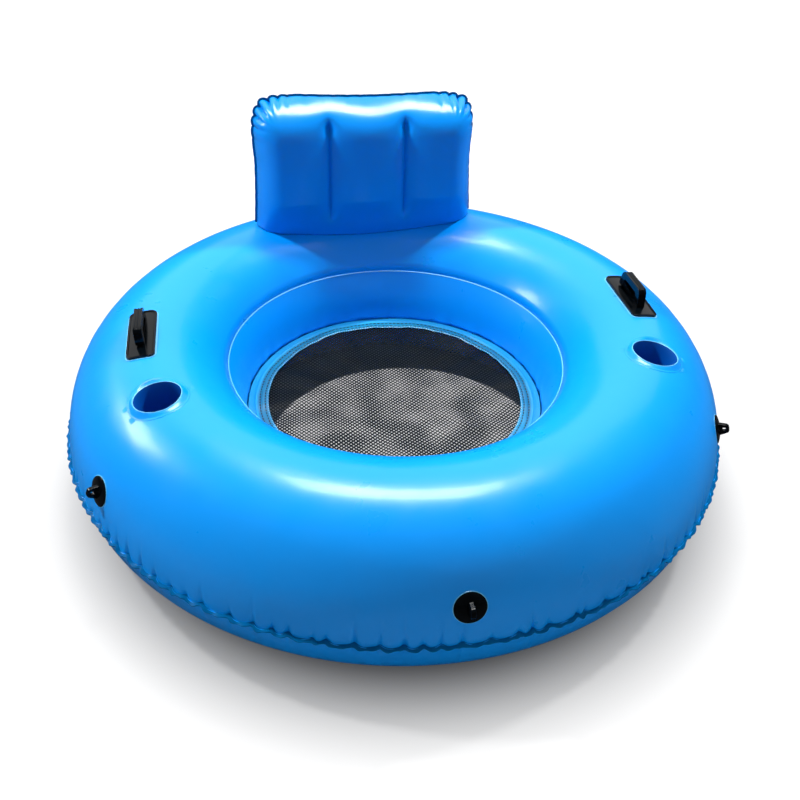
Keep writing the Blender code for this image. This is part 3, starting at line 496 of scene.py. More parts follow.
def weave_group():
    """Open net: square holes between yarns that run both ways, with more or less slack."""
    tree, given, out = node_group(
        "open_weave", {"Pitch": 0.004, "Open": 0.5, "Turn": 0.785},
        {"Alpha": "NodeSocketFloat", "Height": "NodeSocketFloat"})
    place = object_place(tree)
    spin = add_node(tree, "ShaderNodeVectorRotate", {"Vector": place, "Angle": given["Turn"]},
                    rotation_type="Z_AXIS")
    split = add_node(tree, "ShaderNodeSeparateXYZ", {0: spin.outputs[0]}).outputs
    yarns = [maths(tree, "PINGPONG", maths(tree, "DIVIDE", split[axis], given["Pitch"]), 1.0)
             for axis in (0, 1)]
    nearest = maths(tree, "MINIMUM", *yarns)
    slack = ramp(tree, noise(tree, place, 13.0, 1.0), 0.35, 0.65, 0.88, 1.10)
    solid = maths(tree, "LESS_THAN", nearest, maths(tree, "SUBTRACT", slack, given["Open"]))
    fill(tree, out, {"Alpha": solid, "Height": maths(tree, "SUBTRACT", 1.0, nearest)})
    return tree


film, moulding, weave = film_group(), moulding_group(), weave_group()


# Materials

def principled(name, **sockets):
    """A material, its tree and its shader, with the shader's sockets set."""
    material = bpy.data.materials.new(name)
    material.use_nodes = True
    shader = material.node_tree.nodes["Principled BSDF"]
    fill(material.node_tree, shader, {key.replace("_", " "): value for key, value in sockets.items()})
    return material, material.node_tree, shader


def surfaced(name, group, inputs, sockets):
    """A material whose colour, roughness and normal come from a node group."""
    material, tree, shader = principled(name, **sockets)
    made = add_node(tree, "ShaderNodeGroup", inputs, node_tree=group).outputs
    fill(tree, shader, {"Base Color": made["Colour"], "Roughness": made["Roughness"],
                        "Normal": made["Normal"]})
    return material


def vinyl(name, colour, drift_colour, roughness, ripple=0.12, **sockets):
    return surfaced(name, film, {"Colour": (*colour, 1), "Drift Colour": (*drift_colour, 1), "Drift": 0.5,
                                 "Roughness": roughness, "Ripple": ripple}, sockets)


def moulded(name, colour, worn, roughness, grain=0.25, **sockets):
    return surfaced(name, moulding, {"Colour": (*colour, 1), "Worn Colour": (*worn, 1),
                                     "Roughness": roughness, "Grain": grain}, sockets)


GLOSS = {"IOR": 1.42, "Specular_IOR_Level": 0.5, "Coat_Weight": 0.25, "Coat_Roughness": 0.13, "Coat_IOR": 1.4}
tube_vinyl = vinyl("tube_vinyl", (0.0, 0.308, 0.96), (0.0, 0.332, 0.98), 0.30, **GLOSS)
back_vinyl = vinyl("backrest_vinyl", (0.0, 0.240, 0.78), (0.0, 0.262, 0.82), 0.22, **GLOSS)
# Painted shade: the seam fins are of the skins' own vinyl, made dark to draw the shaded line along the seams.
fin_painted_shade_vinyl = vinyl("fin_painted_shade_vinyl", (0.0, 0.11, 0.30), (0.0, 0.15, 0.40), 0.34, IOR=1.25, Specular_IOR_Level=0.12)
# Painted highlight: a pale blue that stands in for the light caught by the lapped seam's edge, the cups' rims
# and the edges of the weld patches.
weld_painted_highlight_vinyl = vinyl("weld_painted_highlight_vinyl", (0.16, 0.60, 1.0), (0.20, 0.66, 1.0), 0.30, **GLOSS)
# Painted shade: the cups' wells are of the tube's vinyl, made deep blue for the shade down inside them.
well_painted_shade_vinyl = vinyl("cup_well_painted_shade", (0.0, 0.085, 0.40), (0.0, 0.10, 0.44), 0.45, ripple=0.05, IOR=1.35)
valve_plastic = moulded("valve_plastic", (0.0, 0.14, 0.56), (0.01, 0.19, 0.64), 0.30, grain=0.15,
                        Coat_Weight=0.2)
black_plastic = moulded("black_moulding", (0.0010, 0.0022, 0.0035), (0.0026, 0.0042, 0.0060), 0.14,
                        grain=0.10, IOR=1.30, Specular_IOR_Level=0.35, Coat_Weight=0.10, Coat_Roughness=0.04)
flap_rubber = moulded("flap_rubber", (0.006, 0.006, 0.007), (0.012, 0.012, 0.013), 0.5)
thread_black = moulded("thread_black", (0.004, 0.005, 0.010), (0.01, 0.01, 0.016), 0.6, grain=0.5)
thread_light = moulded("thread_light", (0.30, 0.60, 0.85), (0.4, 0.7, 0.9), 0.5, grain=0.5)

# The band is darker over the net's hem
band_vinyl = vinyl("seat_band_vinyl", (0.01, 0.37, 0.74), (0.03, 0.42, 0.80), 0.34, ripple=0.3, **GLOSS)
tree = band_vinyl.node_tree
base = tree.nodes["Principled BSDF"].inputs["Base Color"]
hem = ramp(tree, distance(tree, object_place(tree), (0.0, 0.0, BAND_Z)), HEM_START, HEM_END)
tree.links.new(mixed(tree, hem, (0.01, 0.22, 0.40, 1), base.links[0].from_socket), base)

net_fabric, tree, shader = principled("net_fabric", Roughness=0.55, Specular_IOR_Level=0.12,
                                      Base_Color=(0.0010, 0.0040, 0.0060, 1))
holes = add_node(tree, "ShaderNodeGroup", node_tree=weave)
fill(tree, holes, {"Pitch": NET_PITCH / 2, "Open": 0.50, "Turn": NET_TURN})
fill(tree, shader, {"Alpha": holes.outputs["Alpha"],
                    "Normal": bump(tree, holes.outputs["Height"], 0.5, 0.0006)})


# Ring tube

def open_mouths(bm):
    """Makes the skin's grid finer round each cup's mouth, and opens it there."""
    for placed in cup_frames.values():
        near = [edge for edge in bm.edges
                if all((vert.co - placed.translation).length < CUP_RADIUS + 0.026 for vert in edge.verts)]
        bmesh.ops.subdivide_edges(bm, edges=near, cuts=3, use_grid_fill=True)
        covered = [face for face in bm.faces
                   if (face.calc_center_median() - placed.translation).length < MOUTH_RADIUS + 0.006]
        bmesh.ops.delete(bm, geom=covered, context="FACES")


def make_tube():
    fine = [0.0, 0.0025, 0.005, 0.008, 0.012, 0.017, 0.023, 0.030, 0.038, 0.047, 0.057, 0.068, 0.080]
    angles = [math.degrees(math.asin(up / RISE)) for up in fine] + rows(28.0, INNER_SEAM, 18)
    bm = spun([(OUTER + FIN * 0.3, AXIS_Z + 0.0004)] + [section(angle) for angle in angles],
              PUCKER_STEPS)
    open_mouths(bm)
    top = finish_piece("tube_top_skin", bm, "tube", tube_vinyl,
                       shape=lambda points: eased(seat_pucker(seam_pucker(points))))
    thicken(top)
    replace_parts(top, "tube_top_panel")

    profile = [section(angle, -SHEET - 0.0003) for angle in rows(INNER_SEAM - 3, SEAT_SEAM, 14)]
    inner = finish_piece("tube_inner_skin", spun(profile, RING_STEPS), "tube", tube_vinyl,
                         shape=seat_pucker)
    thicken(inner)
    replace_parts(inner, "tube_inner_panel")

    profile = [section(angle) for angle in rows(181.5, 262.0, 9) + rows(278.0, 340.0, 7)]
    profile += [(OUTER - 0.0008, AXIS_Z - 0.020), (OUTER - 0.0003, AXIS_Z - 0.012), (OUTER, AXIS_Z - 0.006),
                (OUTER, AXIS_Z - 0.0025), (OUTER + FIN * 0.3, AXIS_Z - 0.0004)]
    bottom = finish_piece("tube_bottom_skin", spun(profile, BOTTOM_STEPS), "tube", tube_vinyl,
                          shape=lambda points: seat_pucker(seam_pucker(points)))
    thicken(bottom)
    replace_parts(bottom, "tube_bottom_panel")

    # The outside fin's dark vinyl is painted shade along the seam.
    thick, sag = 0.0008, 0.0022
    profile = [(OUTER - 0.001, AXIS_Z - thick), (OUTER + FIN * 0.5, AXIS_Z - thick - sag * 0.3),
               (OUTER + FIN, AXIS_Z - thick - sag), (OUTER + FIN, AXIS_Z + thick - sag),
               (OUTER + FIN * 0.5, AXIS_Z + thick - sag * 0.3), (OUTER - 0.001, AXIS_Z + thick)]
    finish_piece("tube_outer_fin", spun(profile, PUCKER_STEPS, closed=True), "tube", fin_painted_shade_vinyl,
                 shape=lambda points: seam_pucker(points, fin=True))

    # The pale line along the lapped seam is a painted highlight.
    weld = [(-0.40, 0.0001), (-0.25, 0.0006), (0.0, 0.0008), (0.25, 0.0006), (0.36, -0.0008),
            (-0.40, -0.0008)]
    profile = [section(INNER_SEAM + offset, lift) for offset, lift in weld]
    finish_piece("inner_seam_weld", spun(profile, RING_STEPS, closed=True), "tube",
                 weld_painted_highlight_vinyl)


# Seat

def seat_wave(points):
    """Lifts the band towards its inner edge, and makes that edge a little wavy."""
    moved = points.copy()
    radius, turn = polar(points)
    inner = smooth_step((BAND_OUTER - radius) / (BAND_OUTER - BAND_INNER))
    wave = 0.0016 * np.sin(turn * 7.0 + 0.6) + 0.0009 * np.sin(turn * 17.0) + 0.0005 * np.sin(turn * 41.0)
    moved[:, 2] += (wave + BAND_LIFT) * inner
    return moved


def net_sag(points):
    """Keeps the net at the band's edge, free of its waves further in, and lets it hang."""
    moved = seat_wave(points)
    radius, turn = polar(points)
    moved[:, 2] += (points[:, 2] - moved[:, 2] + BAND_LIFT) * (1 - smooth_step(radius / 0.25))
    moved[:, 2] -= NET_SAG * (1 - (radius / NET_RADIUS) ** 2)
    moved[:, 2] += 0.0012 * np.sin(turn * 5.0 + radius * 14.0) * smooth_step((radius - 0.03) / 0.2)
    return moved


def stitches(name, radius, length, width, pitch, material):
    """A row of short thread stitches round the band."""
    bm = bmesh.new()
    place = Matrix.Translation((radius, 0, BAND_TOP + 0.0002)) @ Matrix.Rotation(math.pi / 2, 4, "X")
    place = place @ Matrix.Diagonal((width, width * 0.7, length, 1))
    bmesh.ops.create_uvsphere(bm, u_segments=6, v_segments=4, radius=0.5, matrix=place)
    repeat_round(bm, int(round(math.tau * radius / pitch)))
    finish_piece(name, bm, "tube", material, shape=seat_wave)


def make_seat():
    top = BAND_TOP
    profile = [(radius, BAND_Z) for radius in (BAND_OUTER - 0.001, 0.290, 0.280, 0.270, BAND_INNER + 0.0006)]
    profile += [(BAND_INNER, BAND_Z + 0.0004), (BAND_INNER + 0.0006, top)]
    for groove in (0.2670, 0.2770):     # the stitches lie in these
        profile += [(groove - 0.0015, top + 0.0002), (groove, top - 0.0003), (groove + 0.0015, top + 0.0002)]
    profile += [(0.2850, top + 0.0001), (0.2862, top + 0.0006), (0.2874, top + 0.0001), (0.294, top),
                (BAND_OUTER - 0.001, top)]
    band = finish_piece("seat_band_skin", spun(profile, RING_STEPS, closed=True), "tube",
                        band_vinyl, shape=seat_wave)
    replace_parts(band, "seat_band")

    under = BAND_Z - 0.0012
    profile = [(0.0002, under)] + [(radius, under) for radius in rows(0.02, NET_RADIUS, 16)]
    net = finish_piece("seat_net_skin", spun(profile, 240), "tube", net_fabric, shape=net_sag)
    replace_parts(net, "seat_net", "seat_binding")

    stitches("stitches_inner", 0.2668, 0.0066, 0.0026, 0.0090, thread_black)
    stitches("stitches_outer", 0.2772, 0.0066, 0.0026, 0.0090, thread_black)
    stitches("stitches_edge", BAND_INNER + 0.0016, 0.0030, 0.0020, 0.0056, thread_light)


# Cup wells

def make_cup(side):
    placed = cup_frames[side]
    sign = 1.0 if side == "left" else -1.0
    mouth = placed @ Matrix.Rotation(sign * -MOUTH_TILT, 4, "Y") @ Matrix.Translation((0, 0, -0.0012))
    inner, outer, floor = CUP_RADIUS, CUP_RADIUS + 0.0012, -CUP_DEPTH
    inside = [(0.0, floor + 0.0012), (inner - 0.006, floor + 0.0012), (inner - 0.002, floor + 0.0026),
              (inner - 0.0004, floor + 0.006), (inner, floor + 0.012), (inner, -0.03), (inner, -0.012),
              (inner + 0.0004, -0.005), (MOUTH_RADIUS - 0.0005, -0.001)]
    lip = [(MOUTH_RADIUS, 0.0004), (MOUTH_RADIUS + 0.0007, 0.0004)]
    outside = [(MOUTH_RADIUS + 0.001, -0.001), (outer + 0.0006, -0.006), (outer, -0.012), (outer, -0.03),
               (outer, floor + 0.012), (outer - 0.0008, floor + 0.004), (inner - 0.004, floor), (0.0, floor)]
    well = finish_piece(f"{side}_cup_skin", spun(inside + lip + outside, 128), "tube",
                        well_painted_shade_vinyl, shape=in_place(mouth))
    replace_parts(well, f"{side}_cup_well")

    rim = CUP_RADIUS + CUP_FLANGE
    bead = [(MOUTH_RADIUS + 0.0004, 0.0004), (MOUTH_RADIUS + 0.0014, 0.0007), (MOUTH_RADIUS + 0.0040, 0.0006),
            (MOUTH_RADIUS + 0.0070, 0.0006), (rim - 0.0028, 0.0003), (rim - 0.0020, 0.0006),
            (rim - 0.0010, 0.0005), (rim - 0.0001, 0.0001), (rim, -0.0006), (MOUTH_RADIUS + 0.0070, -0.0004),
            (MOUTH_RADIUS + 0.0004, -0.0004)]
    finish_piece(f"{side}_cup_flange", spun(bead, 160, closed=True), "tube", tube_vinyl,
                 shape=settled(mouth, flat_within=MOUTH_RADIUS))
    # The pale line round the mouth is a painted highlight.
    line = [(MOUTH_RADIUS + out, up) for out, up in
            ((-0.0006, 0.0002), (-0.0003, 0.0013), (0.0004, 0.0016), (0.0010, 0.0012), (0.0012, 0.0004))]
    finish_piece(f"{side}_cup_rim", spun(line, 160, closed=True), "tube", weld_painted_highlight_vinyl,
                 shape=in_place(mouth))


# Handles

def make_handle(side):
    placed = handle_frames[side]
    half, across, low, high, weld = 0.079, 0.027, 0.0007, 0.0042, 0.0024
    bends = (-0.012, 0.0, 0.012)
    # The weld patch's pale edge round the plate is a painted highlight.
    patch = prism(rounded_box(half + weld, across + weld, 0.0144), -0.0006, low)
    slices(patch, 0, rows(-0.078, 0.078, 16))
    slices(patch, 1, bends)
    painted_highlight_weld = finish_piece(f"{side}_handle_weld", patch, "tube", weld_painted_highlight_vinyl,
                        shape=settled(placed))
    soften(painted_highlight_weld, 0.0003)

    plate = prism(rounded_box(half, across, 0.012), low, high)
    top = max(plate.faces, key=lambda face: face.calc_center_median().z)
    for thickness, depth in ((0.0012, 0.0), (0.0006, 0.0007), (0.0020, 0.0), (0.0010, -0.0017),
                             (0.0030, 0.0)):
        bmesh.ops.inset_region(plate, faces=[top], thickness=thickness, depth=depth)
    slices(plate, 0, rows(-0.075, 0.075, 20))
    slices(plate, 1, bends)
    base = finish_piece(f"{side}_handle_plate", plate, "tube", black_plastic,
                        shape=settled(placed))
    soften(base, 0.0005)

    # The grip is drawn from the side: an arch, with two sunk lanes along its top
    foot, height, wide = -0.002, 0.038, 0.0165
    length, leg, taper, bar = 0.049, 0.017, 0.008, 0.013
    under, inner, spread = height - bar, length - leg, 0.0006
    outside = rounded([(-length - spread, foot), (length + spread, foot), (length - taper, height),
                       (taper - length, height)], 0.013)
    hole = rounded([(-inner - 0.0005, foot - 0.02), (inner + 0.0005, foot - 0.02), (inner - taper / 2, under),
                    (taper / 2 - inner, under)], 0.0055)
    outline = [(length + spread, foot)] + [point for point in outside if point[1] > foot + 0.008]
    outline += [(-length - spread, foot), (-inner, foot)]
    outline += [point for point in hole if point[1] > 0.006][::-1] + [(inner, foot)]
    body = prism(outline, -wide / 2, wide / 2)
    lane_in, lane_out, lane_depth = 0.0010, 0.0042, 0.0016
    slices(body, 2, (-0.0062, -lane_out, -lane_in, lane_in, lane_out, 0.0062))
    bmesh.ops.recalc_face_normals(body, faces=body.faces)
    lanes = [face for face in body.faces if face.normal.y > 0.7
             and face.calc_center_median().y > height - 0.004
             and lane_in < abs(face.calc_center_median().z) < lane_out]
    extruded(body, lanes, (0, -lane_depth, 0))
    bmesh.ops.delete(body, geom=lanes, context="FACES_ONLY")
    body.transform(Matrix(((1, 0, 0, 0), (0, 0, 1, 0), (0, 1, 0, 0), (0, 0, 0, 1))))
    grip = finish_piece(f"{side}_handle_grip", body, "tube", black_plastic,
                        shape=settled(placed, rigid_above=0.012))
    soften(grip, 0.0030, segments=3, angle=40.0)
    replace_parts(base, f"{side}_handle")
    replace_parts(grip, f"{side}_handle")


# Rope lugs

def crossing(outline, start, ray):
    """How far a ray from inside a convex outline runs before it meets it."""
    best = 1.0
    for here, there in zip(outline, outline[1:] + outline[:1]):
        side = there - here
        slope = ray.x * side.y - ray.y * side.x
        if abs(slope) > 1e-12:
            gap = here - start
            reach = (gap.x * side.y - gap.y * side.x) / slope
            share = (gap.x * ray.y - gap.y * ray.x) / slope
            if reach > 0 and -1e-9 <= share <= 1 + 1e-9:
                best = min(best, reach)
    return best


def make_lug(name):
    placed = ring_frame(lug_turns[name], LUG_ANGLE)
    rim = LUG_RADIUS
    patch = [(0.0, -0.0006), (0.0, 0.0004), (rim + 0.0010, 0.0004), (rim + 0.0014, -0.0001),
             (rim + 0.0014, -0.0006)]
    finish_piece(f"{name}_lug_weld", spun(patch, 72), "tube", weld_painted_highlight_vinyl,
                 shape=settled(placed))
    dome = [(0.0, 0.0002), (rim - 0.0004, 0.0002), (rim, 0.0008), (rim, 0.0014), (rim - 0.0006, 0.0020),
            (rim * 0.90, 0.0026), (rim * 0.80, 0.0033), (rim * 0.66, 0.0041), (rim * 0.5, 0.0047),
            (rim * 0.3, 0.0050), (0.0, 0.0051)]
    disc = finish_piece(f"{name}_lug_disc", spun(dome, 72), "tube", black_plastic,
                        shape=settled(placed))
    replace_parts(disc, f"{name}_rope_lug")

    # The blade is a plate round an eye, drawn as two loops on each side
    root, tip, reach, thick = 0.0138, 0.0078, 0.0225, 0.0080
    eye_at, eye_wide, eye_long, steps = 0.0130, 0.0036, 0.0042, 48
    corners = [(-root, 0.001), (root, 0.001), (tip, reach), (-tip, reach)]
    outline = [Vector((-root, 0.001)), Vector((root, 0.001))]
    outline += [Vector(point) for point in rounded(corners, tip * 0.9, 8) if point[1] > reach / 2]
    outer, eye = [], []
    for number in range(steps):
        ray = Vector((math.cos(math.tau * number / steps), math.sin(math.tau * number / steps)))
        outer.append(ray * crossing(outline, Vector((0, eye_at)), ray) + Vector((0, eye_at)))
        eye.append(Vector((ray.x * eye_wide, eye_at + ray.y * eye_long)))
    blade = bmesh.new()
    skinned(blade, [[(point.x, point.y, side * thick / 2) for point in loop]
                    for loop, side in ((outer, -1), (outer, 1), (eye, 1), (eye, -1))], closed=True)
    upright = placed @ Matrix(((0, 0, 1, 0), (1, 0, 0, 0), (0, 1, 0, 0), (0, 0, 0, 1)))
    piece = finish_piece(f"{name}_lug_blade", blade, "tube", black_plastic,
                         shape=in_place(upright))
    soften(piece, 0.0014, segments=3)
    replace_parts(piece, f"{name}_rope_lug")


# Backrest. Its flat pillow has x across, height up from the hinge, and depth out of the seam plane.

def pillow_depth(x, height, front):
    """How far the skin swells from the seam plane, with the two tied grooves."""
    side = np.sqrt(1 - (1 - np.clip((BACK_EDGE - np.abs(x)) / SIDE_ROUND, 0, 1)) ** 2)
    top = 1 - (1 - np.clip((BACK_HEIGHT - height) / TOP_ROUND, 0, 1)) ** 2.6
    gap = np.abs(np.abs(x) - WEB_X)
    inside = smooth_step(np.minimum(height - WEB_LOW, WEB_HIGH - height) / 0.04 + 0.5)
    crease = (0.10 * np.exp(-gap / 0.0040) + 0.08 * np.exp(-(gap / 0.016) ** 2)) * inside
    wide = 0.15 * np.exp(-(gap / 0.044) ** 2) * smooth_step((height + 0.03) / 0.09)
    dimple = 0.12 * np.exp(-(gap / 0.011) ** 2 - ((height - WEB_HIGH + 0.012) / 0.014) ** 2)
    depth = side * top * (1 - crease - wide - dimple)
    if front:
        under = np.clip((0.06 - height) / 0.105, 0, 1)
        return FRONT_BULGE * depth * (1 - 0.62 * under**1.5)
    return REAR_BULGE * depth * np.sin(math.pi / 2 * np.clip(height / REAR_FOOT, 0, 1))


def seam_place(x, height):
    """Distance round the backrest's seam from the upper middle, and the distance in from it."""
    corner_x = BACK_EDGE - CORNER
    quarter = math.pi / 2 * CORNER
    dx, dh = np.abs(x) - corner_x, height - (BACK_HEIGHT - CORNER)
    turn = np.arctan2(np.maximum(dx, 0), np.maximum(dh, 1e-9))
    in_corner = (dx > 0) & (dh > 0)
    along = np.where(dx > dh, corner_x + quarter - dh, np.abs(x))
    along = np.where(in_corner, corner_x + turn * CORNER, along)
    away = np.where(dx > dh, BACK_EDGE - np.abs(x), BACK_HEIGHT - height)
    away = np.where(in_corner, CORNER - np.hypot(dx, dh), away)
    return along * np.sign(x), np.maximum(away, 0)


# The seam's tucks: deep round the upper corners, faint down the sides and along the top
tucks = []      # place along the seam, depth and length
for sign in (-1, 1):
    middle = BACK_EDGE - CORNER + math.pi / 4 * CORNER
    place = middle - 0.066
    while place < middle + 0.075:
        depth = 0.0125 * math.exp(-((place - middle) / 0.058) ** 2)
        tucks.append((sign * place, depth, rng.uniform(0.009, 0.018)))
        place += rng.uniform(0.0215, 0.0275)
    place = middle + 0.085
    while place < 0.45:
        tucks.append((sign * place, rng.uniform(0.0003, 0.0008), rng.uniform(0.006, 0.012)))
        place += rng.uniform(0.018, 0.034)
for number in range(9):
    tucks.append((-0.16 + 0.04 * number + rng.uniform(-0.01, 0.01), 0.0004, 0.008))


def tucked(x, height):
    """How far the seam's tucks draw a point in, and how far they lower the skin beside the seam."""
    along, away = seam_place(x, height)
    drawn, lowered = np.zeros_like(along), np.zeros_like(along)
    for place, depth, length in tucks:
        across = np.abs(along - place)
        drawn += depth * np.exp(-(across / 0.0058)) * np.exp(-away / 0.012)
        lowered += depth * 0.6 * np.exp(-(across / 0.0050) ** 2) * np.exp(-((away - 0.006) / length) ** 2)
    return drawn, lowered


def pillow_outline(x, height):
    """Rounds the corners of the flat pillow and draws in its sides and its top."""
    share_x = np.clip(np.abs(x) / BACK_EDGE, 0, 1)
    share_h = np.clip(height / BACK_HEIGHT, 0, 1)
    pull = 0.0185 * (share_x * share_h) ** 7
    draw = 0.005 * np.sin(math.pi * share_h) * share_x**6
    draw -= 0.007 * share_x**2 * smooth_step((share_h - 0.45) / 0.4)
    dip = 0.013 * (1 - share_x**2) * share_h**2 - 0.006 * share_h**2 * (1 - x / BACK_EDGE)
    drawn, lowered = tucked(x, height)
    drawn = drawn * 0.85
    inward = pull + draw + drawn * share_x**2
    return x - np.sign(x) * inward, height - pull - dip - drawn * share_h**6, lowered


def to_world(x, depth, height):
    """Leans the pillow back, and a little to the sitter's right, as the soft joint lets it."""
    x = x + 0.004 + 0.016 * np.clip(height, 0, None)
    return np.column_stack((x, BACK_Y + depth * math.cos(LEAN) + height * math.sin(LEAN),
                            HINGE_Z + height * math.cos(LEAN) - depth * math.sin(LEAN)))


def tube_gap(points):
    """Below zero inside the tube, above zero outside it, about a distance."""
    side = (np.hypot(points[:, 0], points[:, 1]) - RING) / HALF_WIDTH
    up = (points[:, 2] - AXIS_Z) / RISE
    return (np.sqrt(side**2 + up**2) - 1) * (HALF_WIDTH + RISE) / 2


def skin_foot(x, front):
    """The height at which a skin reaches the tube, or the strip on it, for each place across."""
    low, high = np.full_like(x, -0.075 if front else -0.010), np.full_like(x, 0.02)
    side, clear = (-1, FRONT_CLEAR) if front else (1, REAR_CLEAR)
    for _ in range(30):
        middle = (low + high) / 2
        px, ph, _lowered = pillow_outline(x, middle)
        inside = tube_gap(to_world(px, side * (pillow_depth(x, middle, front) + 0.001), ph)) < clear
        low, high = np.where(inside, middle, low), np.where(inside, high, middle)
    return high


def backrest_skin(name, front):
    """The front or rear skin: a grid, closer near the seam, swollen and settled on the tube."""
    bm = bmesh.new()
    bmesh.ops.create_grid(bm, x_segments=220, y_segments=120, size=1.0)

    def shape(points):
        u, v = points[:, 0], (points[:, 1] + 1) / 2
        x = BACK_EDGE * np.sign(u) * (1 - (1 - np.abs(u)) ** 1.25)
        foot = skin_foot(x, front)
        height = foot + (BACK_HEIGHT - foot) * (1 - (1 - v) ** 1.25)
        px, ph, lowered = pillow_outline(x, height)
        depth = np.maximum(pillow_depth(x, height, front) - lowered, 0.0) + 0.0008
        return to_world(px, depth * (-1 if front else 1), ph)

    piece = finish_piece(name, bm, "backrest", back_vinyl, shape=shape)
    thicken(piece)
    return piece


def backrest_fin():
    """The welded fin round the backrest's sides and top, with a slight wave."""
    loop = [(BACK_EDGE, 0.003 + BACK_HEIGHT * step / 150) for step in range(150)]
    loop += [(BACK_EDGE - BACK_WIDTH * step / 260, BACK_HEIGHT) for step in range(261)]
    loop += [(-BACK_EDGE, BACK_HEIGHT - BACK_HEIGHT * (step + 1) / 151) for step in range(150)]
    x, height = np.array(loop).T
    seam_x, seam_h, _lowered = pillow_outline(x, height)
    ahead = np.column_stack((np.gradient(seam_x), np.gradient(seam_h)))
    ahead /= np.linalg.norm(ahead, axis=1)[:, None]
    along, _away = seam_place(x, height)
    wave = 0.0008 * np.sin(along * 210.0) + 0.0005 * np.sin(along * 417.0 + 1.0)
    rings = []
    for reach, lift in ((-0.002, 0.0009), (0.0022, 0.0010), (BACK_FIN, 0.0006), (BACK_FIN, -0.0006),
                        (0.0022, -0.0010), (-0.002, -0.0009)):
        shift = wave * max(reach, 0) / BACK_FIN
        rings.append(to_world(seam_x + ahead[:, 1] * reach, lift + shift, seam_h - ahead[:, 0] * reach))
    bm = bmesh.new()
    skinned(bm, rings, closed=False)
    bmesh.ops.holes_fill(bm, edges=[item for item in bm.edges if item.is_boundary], sides=0)
    # Its dark vinyl is painted shade along the seam.
    finish_piece("backrest_fin", bm, "backrest", fin_painted_shade_vinyl)


def make_plug_strap():
    """The soft strap from the plug's head to the valve's flange, the solid's mesh with its long edges cut
    finer. Nothing here bends it as the plug comes out.
    """
    node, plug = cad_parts["backrest_valve_strap"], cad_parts["backrest_valve_plug"]
    bm = bmesh.new()
    bm.from_mesh(node.data)
    bm.transform(node.matrix_world)
    bmesh.ops.subdivide_edges(bm, edges=[edge for edge in bm.edges if edge.calc_length() > 0.0008], cuts=2)
    strap = finish_piece("plug_strap", bm, None, valve_plastic)
    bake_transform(strap)
    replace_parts(strap, "backrest_valve_strap")


make_tube()
make_seat()
for side in ("left", "right"):
    make_cup(side)
    make_handle(side)
for name in lug_turns:
    make_lug(name)
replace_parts(backrest_skin("backrest_front_skin", True), "backrest_front_panel", "backrest_base_panel")
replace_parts(backrest_skin("backrest_rear_skin", False), "backrest_rear_panel", "backrest_left_web",
            "backrest_right_web")
backrest_fin()
make_plug_strap()

# The solids that show as they are
for material, nodes in ((valve_plastic, ("main_valve_base", "main_valve_insert", "main_valve_cap",
                                         "main_valve_tether", "backrest_valve_base", "backrest_valve_plug")),
                        (flap_rubber, ("main_valve_flap",)), (tube_vinyl, ("backrest_weld_strip",))):
    for node in nodes:
        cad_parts[node].data.materials.clear()
        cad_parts[node].data.materials.append(material)


# Floor: pale all round, with a painted shadow under and round the tube and a painted pool of light under the
# net. The camera sees it one way, and it throws less light back on the object than it shows, least under the
# tube, where that is painted shade too.

FLOOR_HALF, FLOOR_DROP = 12.0, 0.0006
floor_mesh = bmesh.new()
bmesh.ops.create_grid(floor_mesh, x_segments=1, y_segments=1, size=FLOOR_HALF)
bmesh.ops.translate(floor_mesh, verts=floor_mesh.verts, vec=(0, 0, -FLOOR_DROP))
paper, tree, shader = principled("paper_floor", Roughness=0.9, Specular_IOR_Level=0.0,
                                 Emission_Color=(1, 1, 1, 1))
rays = add_node(tree, "ShaderNodeLightPath").outputs
seen = rays["Is Camera Ray"]
place = object_place(tree)
# Painted shade: under the tube the floor sends back almost no light to the object.
spread = mixed(tree, ramp(tree, distance(tree, place, (0.0, 0.0, 0.0)), 0.50, 0.66), (0.03, 0.03, 0.03, 1),
               (0.36, 0.36, 0.36, 1))
bounce_with_painted_shade = mixed(tree, rays["Is Glossy Ray"], spread, (0.04, 0.04, 0.04, 1))
far = distance(tree, place, (0.0, -0.05, 0.0))
# Painted shadow: the camera sees the floor darker near the tube, growing pale beyond.
painted_shadow_lift = ramp(tree, far, PAINTED_SHADOW_START, PAINTED_SHADOW_END, high=0.85, kind="SMOOTHSTEP")
# Painted light: a bright patch under the net, seen through it.
under = ramp(tree, distance(tree, place, (0.030, -0.010, 0.0)), PAINTED_LIGHT_RADIUS, PAINTED_LIGHT_RADIUS + 0.006,
             low=0.62, high=0.0, kind="SMOOTHSTEP")
pale = maths(tree, "ADD", maths(tree, "ADD", painted_shadow_lift, under), ramp(tree, far, 0.9, 2.6, high=0.15))
fill(tree, shader, {"Base Color": mixed(tree, seen, bounce_with_painted_shade, (0.17, 0.17, 0.17, 1)),
                    "Emission Strength": maths(tree, "MULTIPLY", seen, pale)})
finish_piece("floor", floor_mesh, None, paper, smooth=False)

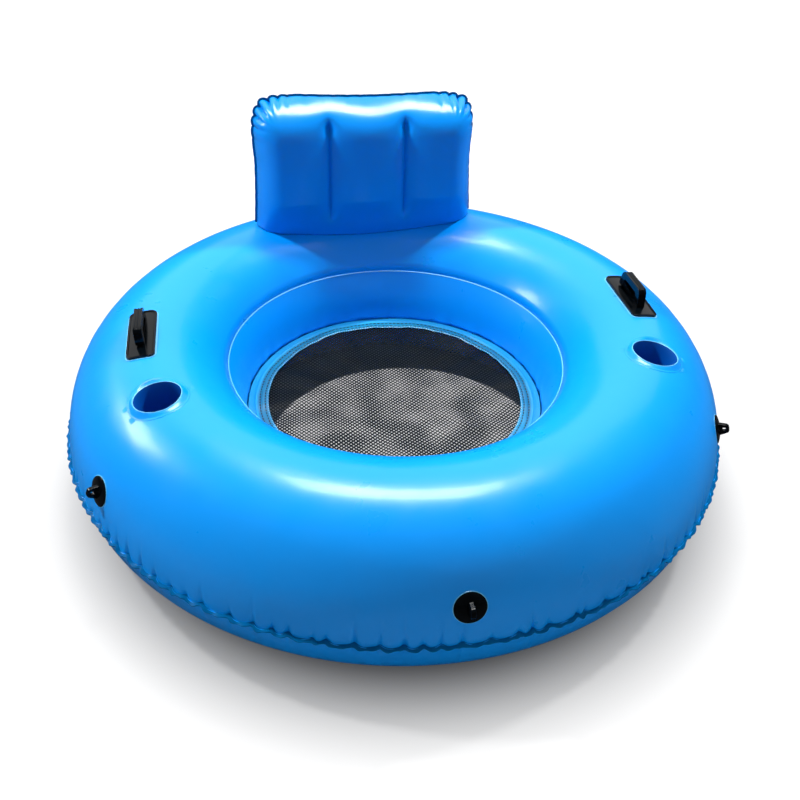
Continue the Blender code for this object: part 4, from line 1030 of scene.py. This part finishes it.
# Backdrop: white to the camera, dim to the object
world = bpy.data.worlds.new("studio")
bpy.context.scene.world = world
world.use_nodes = True
tree = world.node_tree
rays = add_node(tree, "ShaderNodeLightPath").outputs
dim = ramp(tree, rays["Is Glossy Ray"], 0.0, 1.0, 0.33, 0.05)
fill(tree, tree.nodes["Background"], {"Color": (1, 1, 1, 1),
                                      "Strength": ramp(tree, rays["Is Camera Ray"], 0.0, 1.0, dim, 1.0)})

# Lamps: name, place, width, depth, watts, and whether it shows in gloss or only lights the colour
TUBE_AIM, BACK_AIM, LOW_AIM = (0, 0, 0.2), (0, 0.2, 0.2), (0, 0, 0.1)
for name, spot, aim, width, depth, power, in_gloss in (
        ("overhead", (0.35, 1.55, 5.0), TUBE_AIM, 2.6, 1.3, 300, True),
        ("key", (0.0, 2.2, 4.5), TUBE_AIM, 0.7, 0.7, 80, False),
        ("left_key", (-2.4, 1.10, 3.1), BACK_AIM, 0.30, 0.30, 152, False),
        ("right_key", (2.4, 1.10, 3.1), BACK_AIM, 0.30, 0.30, 140, False),
        ("front_fill", (1.3, -3.4, 1.5), LOW_AIM, 2.4, 1.6, 8, False),
        ("left_bank", (-2.6, 1.15, 1.9), TUBE_AIM, 0.8, 0.7, 38, True),
        ("back_wall", (0.0, 2.7, 2.3), TUBE_AIM, 6.6, 2.2, 48, True)):
    lamp = bpy.data.lights.new(name, "AREA")
    lamp.shape = "RECTANGLE"
    lamp.size, lamp.size_y, lamp.energy = width, depth, power
    obj = link(bpy.data.objects.new(name, lamp))
    obj.location = spot
    obj.rotation_mode = "QUATERNION"
    obj.rotation_quaternion = (Vector(aim) - Vector(spot)).to_track_quat("-Z", "Y")
    obj.visible_diffuse, obj.visible_glossy = not in_gloss, in_gloss

# The camera that was fitted to the ring's seams
camera = bpy.data.cameras.new("camera")
camera.sensor_width = SENSOR
camera.lens = FOCAL / PHOTO_WIDTH * SENSOR
camera.shift_x, camera.shift_y = SHIFT
camera_object = link(bpy.data.objects.new("camera", camera))
camera_object.location = CAMERA_SPOT
look = Vector(CAMERA_AIM) - camera_object.location
roll = Matrix.Rotation(CAMERA_ROLL, 3, "Z").to_quaternion()
camera_object.rotation_mode = "QUATERNION"
camera_object.rotation_quaternion = look.to_track_quat("-Z", "Y") @ roll
bpy.context.scene.camera = camera_object

bpy.context.scene.view_settings.view_transform = "Standard"
